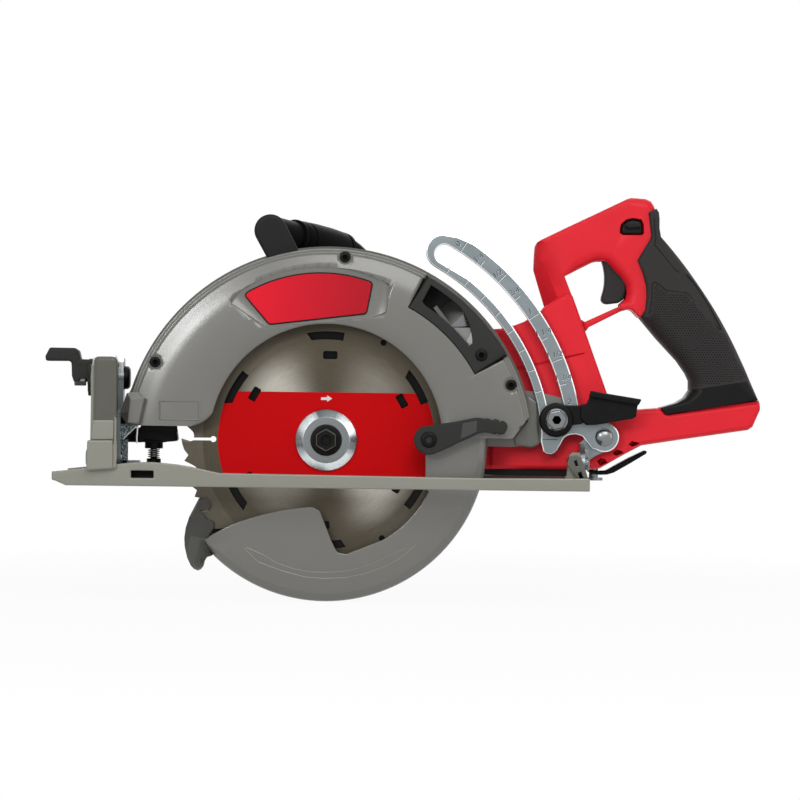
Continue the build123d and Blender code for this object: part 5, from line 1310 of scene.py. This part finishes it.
def grip_sleeve():
    """The rubber sleeve, with its field of dots and dark lines of painted shade for the grooves round its
    panels on both sides.
    """
    rubber = grip_finish("grip_rubber", RUBBER)
    base = Form().plate(grip_outline(), grip_side).mesh(rubber)
    rows = []
    for j in range(60):
        for i in range(60):
            point = (200.0 + DOT_PITCH * (i + 0.5 * (j % 2)), 60.0 + DOT_PITCH * 0.866 * j)
            if inside(point, DOT_FIELD):
                rows.append(point)
    places = []
    for spot, normal in laid_on(base, rows, -0.06):
        turn = normal.to_track_quat("Z", "Y").to_euler()
        places.append((spot, turn))
        other = Vector((normal.x, -normal.y, normal.z)).to_track_quat("Z", "Y").to_euler()
        places.append((Vector((spot.x, 2 * SPLIT_Y - spot.y, spot.z)), other))
    form = Form().add(base).add(spread(places, grip_dot(), rubber))
    # Dark beads of painted shade along the grooves.
    for path, radius in ((SPINE_LINE, 0.34), (SPINE_SHADE, 0.8), (PANEL_LINE, 0.34), (FOOT_LINE, 0.3)):
        line = line_on(base, path, 2.0)
        for way in (line, [(x, 2 * SPLIT_Y - y, z) for x, y, z in line]):
            form.add(bead(way, radius, PAINTED_SHADE), 1)
    finished("grip_sleeve", form, rubber, PAINTED_SHADE)


def trigger():
    outline = [*bend((175.2, 146.4), (177.1, 134.4), (175.2, 124.2)), (174.9, 121.6), (176.6, 119.6),
               (179.2, 119.2), (186.4, 120.2), (189.2, 122.4), (190.9, 128.2), (192.6, 140.0), (192.6, 150.0),
               (186.0, 154.0), (178.5, 151.4)]
    form = Form().block(outline, 2.2, 33.4, 50.6, (1.9, 1.5), 1.6, 4)
    finished("trigger", form, FINISH["dark_plastic"])


def lock_off_button():
    form = Form()
    outline = [(187.2, 165.2), (187.6, 169.6), (190.6, 172.4), (194.6, 173.2), (199.0, 172.4), (200.2, 170.0),
               (200.4, 165.2), (199.6, 164.4), (188.4, 164.4)]
    form.block(outline, 1.0, 28.4, 55.6, (1.0, 0.8), 0.8)
    ridge = [(188.6, 169.0), (191.0, 172.0), (194.6, 172.8), (198.8, 172.0), (199.8, 169.6), (199.6, 168.2),
             (191.4, 167.6)]
    for y0, y1 in ((24.2, 30.0), (54.0, 59.8)):
        form.block(ridge, 1.5, y0, y1, (1.3, 1.2), 1.2)
    finished("lock_off_button", form, FINISH["black_plastic"])


# Front handle


def front_handle():
    form = Form()
    leg = [*arc(10.3, 28.0, 207.0, (-37.1, 162.8), 8.0), (-38.4, 144.0), (-36.0, 138.4), (-16.0, 144.4)]
    form.plate(leg, rounded_side(0.8, 17.4, (2.4, 1.8), 1.0, 5), finish=1)
    start, end, foot = Vector((-37.0, 8.0, 162.8)), Vector((13.0, 88.0, 152.4)), Vector((38.0, 90.0, 118.0))
    path = [start.lerp(end, k / 12) for k in range(11)]
    corner = []
    for share in (t / 6 for t in range(1, 7)):
        back = end.lerp(start, 0.16 * (1 - share)) * (1 - share)
        corner.append(back + end.lerp(foot, 0.32 * share) * share)
    path += corner + [end.lerp(foot, 0.5), end.lerp(foot, 0.8), foot, Vector((41.0, 90.0, 106.0)),
                      Vector((41.0, 90.0, 88.0))]
    radii = [9.6] * (len(path) - 2) + [9.8, 10.6]
    form.pipe(path, radii, 32)
    finished("front_handle", form, DEEP_BLACK, FINISH["black_plastic"])
    shares = [0.27, 0.275, 0.28, 0.30, 0.305, 0.315, 0.385, 0.39, 0.40, 0.41, 0.5, 0.7, 0.8, 0.84, 0.845,
              0.855, 0.865, 0.90, 0.91]
    bulge = [9.2, 10.6, 11.2, 11.2, 10.3, 11.0, 11.4, 10.3, 10.3, 11.4, 11.8, 11.8, 11.4, 11.2, 10.3, 10.3,
             11.2, 11.0, 9.2]
    sleeve = Form().pipe([start.lerp(end, s) for s in shares], bulge, 48)
    finished("front_handle_grip", sleeve, DEEP_BLACK)


# Depth and bevel adjustment


TICK_TOP, TICK_STEP, TICKS = 57.5, 5.77, 9
SLOT_IN, SLOT_OUT = 142.8, 153.2
SCALE_MARKS = ["0", "1/4", "1/2", "3/4", "1", "1 1/4", "1 1/2", "1 3/4", "2"]
BRACKET_FACE = 14.6


def lettering(text, size, place, turn):
    """Raised figures on the blade side of a plate: centre at place (x, y, z), turned in degrees."""
    curve = bpy.data.curves.new("figures", "FONT")
    curve.body = text
    curve.size = size * MM
    curve.extrude = 0.05 * MM
    curve.align_x = "CENTER"
    curve.align_y = "CENTER"
    mesh = baked(holder_of(curve))
    mesh.transform(Matrix.Translation(Vector(place) * MM) @ Matrix.Rotation(math.pi / 2, 4, "X")
                   @ Matrix.Rotation(math.radians(turn), 4, "Z"))
    return mesh


def depth_scale(form):
    """Ticks on both sides of the slot and figures beside it, each drawn dark as painted shade in the
    stamping, with a bright copy beside it as a painted highlight.
    """
    tick = Form().plate([(-0.17, -0.5), (0.17, -0.5), (0.17, 0.5), (-0.17, 0.5)], [(0.0, -0.05), (0.0, 0.05)])
    tick_mesh = tick.mesh(STAMP_SHADE, angle=0.0)
    for shift, finish in ((0.0, 2), (-0.13, 1)):
        places = []
        for k in range(TICKS):
            angle = TICK_TOP - TICK_STEP * k + shift
            for first, last in ((138.0, 142.0), (154.0, 161.0 if k % 2 == 0 else 158.0)):
                for j in range(round(last - first)):
                    x, z = polar(first + j + 0.5, angle, GUARD)
                    places.append(((x, BRACKET_FACE, z), (0.0, math.pi / 2 - math.radians(angle), 0.0)))
        form.add(spread(places, tick_mesh, STAMP_SHADE), finish)
    for k, mark in enumerate(SCALE_MARKS):
        for shift, finish in ((1.4, 2), (1.32, 1)):
            angle = TICK_TOP - TICK_STEP * k + shift
            x, z = polar(157.4, angle, GUARD)
            form.add(lettering(mark, 5.2, (x, BRACKET_FACE + 0.02 * (2 - finish), z), angle - 15.0), finish)


def depth_bracket():
    end = [*arc(11.1, 236.0, 92.0, (73.0, 151.0), 12.0), (82.5, 160.4)]
    foot = [(169.3, 26.2), (165.2, 31.3), (163.0, 34.2), (158.9, 35.3), (154.5, 34.8), (151.6, 33.0),
            (147.0, 24.5), (144.1, 22.4), (140.4, 22.6), (138.2, 24.4), (136.6, 31.0), (136.8, 36.1)]
    outline = [*arc(136.9, 14.0, 60.0, GUARD, 2.0), *end, *arc(162.7, 56.0, 9.0, GUARD, 2.0),
               (161.2, 44.4), (164.4, 43.2), *arc(9.5, 92.0, -118.0, RIVET, 12.0),
               *eased(foot, 3.0, 3, False)]
    slot_end = bend(polar(SLOT_OUT, 60.4, GUARD), polar(147.3, 62.8, GUARD), polar(141.4, 60.6, GUARD), 10)
    slot = [*arc(SLOT_OUT, 6.6, 60.2, GUARD, 2.0), *slot_end, *arc(SLOT_IN, 52.0, 6.6, GUARD, 2.0)]
    # The bracket's edges take the painted highlight.
    form = Form().plate(outline, rounded_side(BRACKET_FACE, 17.6, (0.8, 0.5), 0.5), [slot], side_finish=1)
    depth_scale(form)
    form.plate([(137.7, 31.8), (147.2, 31.8), (147.2, 32.2), (137.7, 32.2)], [(0.0, 14.55), (0.0, 14.7)],
               finish=2)
    finished("depth_bracket", form, FINISH["zinc"], EDGE_HIGHLIGHT, STAMP_SHADE)
    rivet = [(0.0, 11.9), (2.4, 12.0), (4.2, 12.5), (5.4, 13.3), (5.7, 14.0), (5.5, 14.4), (3.0, 14.4),
             (3.0, 21.4), (5.0, 21.4), (5.0, 22.4), (4.4, 22.8), (0.0, 22.8)]
    finished("bracket_rivet", Form().lathe(RIVET, rivet, 48), CHROME)


def depth_lever():
    form = Form()
    hub = [(3.1, 4.6), (9.0, 4.6), (10.1, 5.0), (10.8, 6.0), (10.9, 8.0), (10.9, 13.6), (10.5, 14.2),
           (3.1, 14.2)]
    form.lathe(BOLT, hub, 64)
    arm = [(150.0, 53.9), (163.0, 53.9), (163.0, 42.2), (150.0, 40.4)]
    form.block(arm, 0.8, 6.4, 11.0, 0.8)
    paddle = [(161.4, 54.3), (165.4, 55.1), (166.8, 58.4), (167.2, 61.0), (198.6, 56.0), (197.6, 53.7),
              (196.9, 47.1), (194.7, 45.8), (171.7, 41.7), (165.5, 41.5), (163.3, 43.0), (161.4, 46.0)]
    form.block(paddle, 1.2, 4.6, 11.0, 0.9)
    lip = [(167.7, 63.3), (200.1, 58.3), (198.2, 54.6), (166.8, 59.4)]
    form.block(lip, 0.8, 0.4, 11.0, 0.8)
    finished("depth_lever", form, FINISH["black_steel"])
    nut = Form()
    nut.lathe(BOLT, [(2.9, 5.0), (7.0, 5.0), (7.3, 4.6), (7.2, 4.1), (6.4, 3.4), (2.9, 3.4)], 64)
    hexagon = circle(6.65, BOLT, 6, 12.0)
    nut.plate(eased(hexagon, 0.5, 2), hexagon_side(BOLT, -0.6, 4.6, 0.9, 0.2), [circle(2.75, BOLT, 6)])
    nut.lathe(BOLT, [(0.0, 2.0), (3.0, 2.0), (3.0, 4.0), (0.0, 4.0)], 24, 1)
    finished("depth_lever_nut", nut, CHROME, FINISH["black_steel"])


STUD = (26.5, 68.2)


def bevel_lever():
    black = FINISH["dark_plastic"]
    paddle = [(-148.4, 74.4), (-148.4, 79.6), (-157.8, 79.6), (-158.4, 82.4), (-159.1, 85.0), (-161.9, 86.8),
              (-177.7, 86.9), (-180.5, 81.4), (-180.2, 78.3), (-165.3, 78.4), (-163.8, 77.4), (-163.7, 74.4)]
    form = Form().block(paddle, 1.8, 18.6, 34.4, (1.6, 1.2), 1.2)
    wall = [(-148.4, 66.8), (-148.4, 77.0), (-163.7, 77.0), (-163.4, 69.0), (-162.2, 65.3), (-158.5, 65.3),
            (-158.1, 67.2)]
    form.block(wall, 1.0, 18.6, 20.4, (0.9, 0.7), 0.4)
    wheel = [polar(12.0 - (1.2 if k % 4 in (0, 1) else 0.0), 7.5 * k, STUD) for k in range(48)]
    disc = Form().plate(wheel, rounded_side(-153.2, -147.9, 0.7), [circle(3.1, STUD, 24)]).sideways()
    finished("bevel_lever", form.add(disc.mesh(black)), black)
    nut = Form().plate(eased(circle(5.6, STUD, 6, 30.0), 0.5, 2), rounded_side(-162.3, -154.6, 0.7),
                       [circle(3.1, STUD, 24)]).sideways()
    finished("bevel_lever_nut", nut, CHROME)


def tilt_pieces():
    """The folded plates between the shoe and the saw, with the block of the sprung stop."""
    strip = [(19.2, 60.0), (19.2, 78.5), (21.5, 81.0), (34.0, 81.0), (36.4, 78.0), (36.4, 60.0)]
    # The strip's and the ear's edges and the clip take the painted highlight.
    extra = Form().block(strip, 1.5, -133.7, -130.2, 0.5, finish=1, side_finish=2).sideways()
    ear = [(-133.5, 44.0), (-133.5, 29.0), (-128.3, 28.8), (-119.0, 38.0), (-117.0, 44.0)]
    extra.block(ear, 1.0, -9.5, -6.0, 0.5, finish=1, side_finish=2)
    extra.plate([(-133.6, 13.4), (-126.2, 13.4), (-126.2, 29.0), (-133.6, 29.0)], rounded_side(6.0, 8.5, 0.4),
                finish=1)
    clip = [(-119.3, -10.0, 37.8), (-119.9, -10.0, 30.0), (-119.7, -10.0, 26.7)]
    extra.add(bead(clip, 0.6, EDGE_HIGHLIGHT), 2)
    rounded("front_tilt_plate", 0.4, extra, None, (MOTTLED_ZINC, EDGE_HIGHLIGHT))
    block = [(-125.6, 29.4), (-123.6, 32.8), (-119.4, 36.9), (-96.2, 36.9), (-94.9, 28.0), (-102.4, 27.4),
             (-116.4, 27.8), (-119.5, 26.6)]
    extra = Form().block(block, 2.0, 19.0, 35.0, (1.6, 1.2), 0.8)
    lip = [(-120.4, 34.0), (-118.0, 39.4), (-95.8, 39.4), (-95.4, 34.0)]
    extra.plate(lip, rounded_side(18.6, 22.0, 0.6))
    rounded("stop_barrel", 0.6, extra)
    strip = [(162.1, 26.9), (166.9, 25.5), (167.7, 16.7), (167.1, 11.6), (164.9, 13.8), (163.3, 24.0)]
    extra = Form().block(strip, 1.0, 6.0, 10.0, 0.5)
    rounded("rear_tilt_bracket", 0.4, extra)


def gear_case():
    clip = [(119.1, 33.6), (120.3, 27.8), (131.0, 26.4), (136.1, 28.7), (134.3, 55.8), (128.0, 60.2)]
    rounded("gear_case", 0.8, Form().block(clip, 1.8, 16.4, 20.0, (1.6, 0.9), 0.3))


# Shoe


def shoe():
    extra = Form()
    column = [(-145.6, 24.0), (-145.4, 81.2), (-130.6, 81.2), (-130.6, 24.0)]
    # The column takes the darker paint as painted shade.
    extra.block(column, 3.6, -44.4, -39.2, (2.6, 3.0), 0.6, 5, finish=3)
    extra.plate([(-147.3, 28.0), (-147.1, 76.0), (-134.1, 76.0), (-134.1, 28.0)],
                rounded_side(-40.6, -30.2, 0.6))
    for outline, face in (([(-145.7, 41.2), (-132.4, 41.3), (-132.6, 29.0), (-146.4, 28.6)], -45.6),
                          ([(-148.8, 28.5), (-132.9, 28.7), (-132.6, 11.0), (-149.2, 9.8)], -46.6),
                          ([(-132.0, 44.2), (-130.7, 42.1), (-130.6, 11.0), (-134.4, 11.0), (-134.4, 39.3)],
                           -44.0)):
        extra.block(outline, 1.2, face, -38.4, (1.1, 0.9), 0.4)
    rail = [(-162.4, 0.0), (-171.2, 3.8), (-171.2, 8.7), (-148.4, 11.0), (-134.0, 13.4), (-121.5, 14.7),
            (-113.4, 15.2), (-107.0, 15.2), (-92.0, 13.9), (-78.0, 11.4), (-66.0, 8.9), (97.0, 7.7),
            (166.2, 8.2), (166.2, 0.0)]
    slot = eased([(-121.8, 5.2), (-107.4, 5.2), (-107.4, 9.8), (-121.8, 9.8)], 0.6, 2)
    extra.block(rail, 1.0, -40.8, -37.6, 0.9, holes=[slot])
    lug = [(152.4, 16.5), (154.2, 21.8), (158.5, 22.6), (161.5, 21.5), (166.4, 7.4), (159.1, 7.3)]
    slots = [[(x - 1.5, z + 1.4), (x + 0.2, z + 2.0), (x + 1.4, z - 1.4), (x - 0.2, z - 2.0)]
             for x, z in ((158.4, 17.2), (161.4, 10.0))]
    extra.block(lug, 1.6, -12.0, -8.0, 0.5, holes=slots, finish=1)
    # A dark plate inside the lug, painted shade seen through its slots.
    extra.plate(eased(lug, 1.6), [(0.8, -9.4), (0.8, -8.2)], finish=2)
    # A black leaf inside the rail's slot, in painted shade: it stands for the fence clamp and the shade
    # behind it.
    leaf = [(-124.0, 5.0), (-105.0, 5.0), (-105.0, 12.4), (-124.0, 12.4)]
    extra.plate(leaf, [(0.0, -31.0), (0.0, -30.0)], finish=2)
    rounded("shoe", 0.7, extra, SHOE_PAINT, (DARK_SHOE, PAINTED_SHADE, COLUMN_SHADE))
    pins = Form().pipe([(-152.4, 0.0, 17.0), (-151.6, 0.0, 17.0), (-151.0, 0.0, 17.0), (-150.9, 0.0, 17.0),
                        (-129.4, 0.0, 17.0)],
                       [4.6, 5.8, 6.0, 4.0, 4.0], 40)
    pins.pipe([(153.0, 0.0, 17.0), (153.6, 0.0, 17.0), (166.5, 0.0, 17.0)], [3.4, 4.0, 4.0], 40)
    finished("bevel_pivot_pins", pins, MOTTLED_ZINC)


def rafter_hook():
    """A flat bar bent in a wave, thicker towards its tip."""
    outer = [(167.6, 11.6), (170.2, 10.3), (175.4, 9.3), (180.6, 9.5), (185.0, 10.9), (195.3, 16.9),
             (205.7, 23.3), (206.2, 24.8), (204.5, 25.5), (194.5, 20.6), (185.7, 15.7), (179.8, 12.3),
             (175.3, 11.9), (169.0, 12.5)]
    form = Form().block(outer, 3.0, 45.0, 59.0, 0.7)
    finished("rafter_hook", form, FINISH["black_steel"])


for name, node in NODES.items():
    node.data.materials.clear()
    node.data.materials.append(FINISH[SLOT_OF[name]])

guard_cover()
guard_housing()
name_plate()
chip_insert()
guard_screws()
lower_guard()
guard_lever()
saw_blade()
blade_centre()
handle_half("handle_left_half", False)
handle_half("handle_right_half", True)
grip_sleeve()
trigger()
lock_off_button()
front_handle()
depth_bracket()
depth_lever()
bevel_lever()
tilt_pieces()
gear_case()
shoe()
rafter_hook()
for name, width in {"motor_housing": 0.8, "motor_end_cap": 0.8, "battery_rail": 0.5,
                    "stop_plunger": 0.5}.items():
    rounded(name, width)


# Stage, light and camera


FLOOR_WHITE = 0.94
SHADOW_REACH = (0.32, 0.62)


def white_to_camera(tree):
    """1 for what the camera, a reflection or a clear material sees."""
    path = tree.node("ShaderNodeLightPath").socket.node
    names = ("Is Camera Ray", "Is Glossy Ray", "Is Transmission Ray")
    rays = [Wire(tree, path.outputs[name]) for name in names]
    return tree.maths("MAXIMUM", tree.maths("MAXIMUM", rays[0], rays[1]), rays[2])


def stage_floor():
    """A pale floor that keeps the saw's shadow near it and is plain white further off."""
    mesh = bpy.data.meshes.new("floor")
    work = bmesh.new()
    bmesh.ops.create_grid(work, x_segments=1, y_segments=1, size=14.0)
    bmesh.ops.translate(work, verts=work.verts, vec=(0.0, 0.0, CAD_BOX[0].z - 0.0005))
    work.to_mesh(mesh)
    work.free()
    floor = holder_of(mesh)
    floor.name = "floor"
    shop = Shop("pale_floor")
    x, y, _ = shop.place()
    x = x - 0.05
    away = shop.maths("SQRT", x * x + y * y * 0.25)
    fade = shop.node("ShaderNodeMapRange", None,
                     {"Value": away, "From Min": SHADOW_REACH[0], "From Max": SHADOW_REACH[1],
                      "To Min": FLOOR_WHITE, "To Max": 1.0})
    tone = shop.mix(shop.noise(1.5, 2.0), (0.87, 0.87, 0.87), (0.90, 0.90, 0.90))
    matt = shop.node("ShaderNodeBsdfDiffuse", None, {"Color": tone})
    white = shop.node("ShaderNodeEmission", None, {"Color": (1.0, 1.0, 1.0), "Strength": 1.0})
    seen = white_to_camera(shop) * fade
    mesh.materials.append(shop.ended(shop.node("ShaderNodeMixShader", None, {0: seen, 1: matt, 2: white})))


def softbox(name, place, target, size, power):
    lamp = bpy.data.lights.new(name, "AREA")
    lamp.shape = "RECTANGLE"
    lamp.size, lamp.size_y = size
    lamp.energy = power
    made = bpy.data.objects.new(name, lamp)
    made.location = place
    made.rotation_mode = "QUATERNION"
    made.rotation_quaternion = (Vector(target) - Vector(place)).to_track_quat("-Z", "Y")
    bpy.context.scene.collection.objects.link(made)


WORLD_FILL = 0.14


def studio():
    world = bpy.data.worlds.new("studio")
    bpy.context.scene.world = world
    world.use_nodes = True
    tree = Tree(world.node_tree)
    seen = white_to_camera(tree)
    fill = tree.node("ShaderNodeBackground", None, {"Color": (1.0, 1.0, 1.0), "Strength": WORLD_FILL})
    white = tree.node("ShaderNodeBackground", None, {"Color": (1.0, 1.0, 1.0), "Strength": 1.0})
    blend = tree.node("ShaderNodeMixShader", None, {0: seen, 1: fill, 2: white})
    tree.node("ShaderNodeOutputWorld", None, {"Surface": blend})
    middle = (0.05, 0.0, 0.06)
    softbox("key", (0.45, -2.05, 1.45), middle, (1.3, 1.3), 22.0)
    softbox("sheen", (-0.88, -2.25, 0.72), middle, (0.45, 0.45), 13.0)
    softbox("top", (0.0, -0.3, 1.8), middle, (1.6, 1.2), 5.0)
    softbox("right", (1.6, -0.8, 0.6), middle, (0.8, 1.4), 4.0)
    softbox("back", (0.2, 1.9, 0.9), middle, (1.4, 1.0), 7.0)


def photo_camera():
    data = bpy.data.cameras.new("camera")
    data.lens = LENS
    data.sensor_width = SENSOR
    data.clip_end = 60.0
    camera = bpy.data.objects.new("camera", data)
    camera.location = CAMERA_AT
    camera.rotation_euler = (math.pi / 2, CAMERA_ROLL, 0.0)
    bpy.context.scene.collection.objects.link(camera)
    bpy.context.scene.camera = camera


stage_floor()
studio()
photo_camera()
bpy.context.scene.view_settings.view_transform = "Standard"
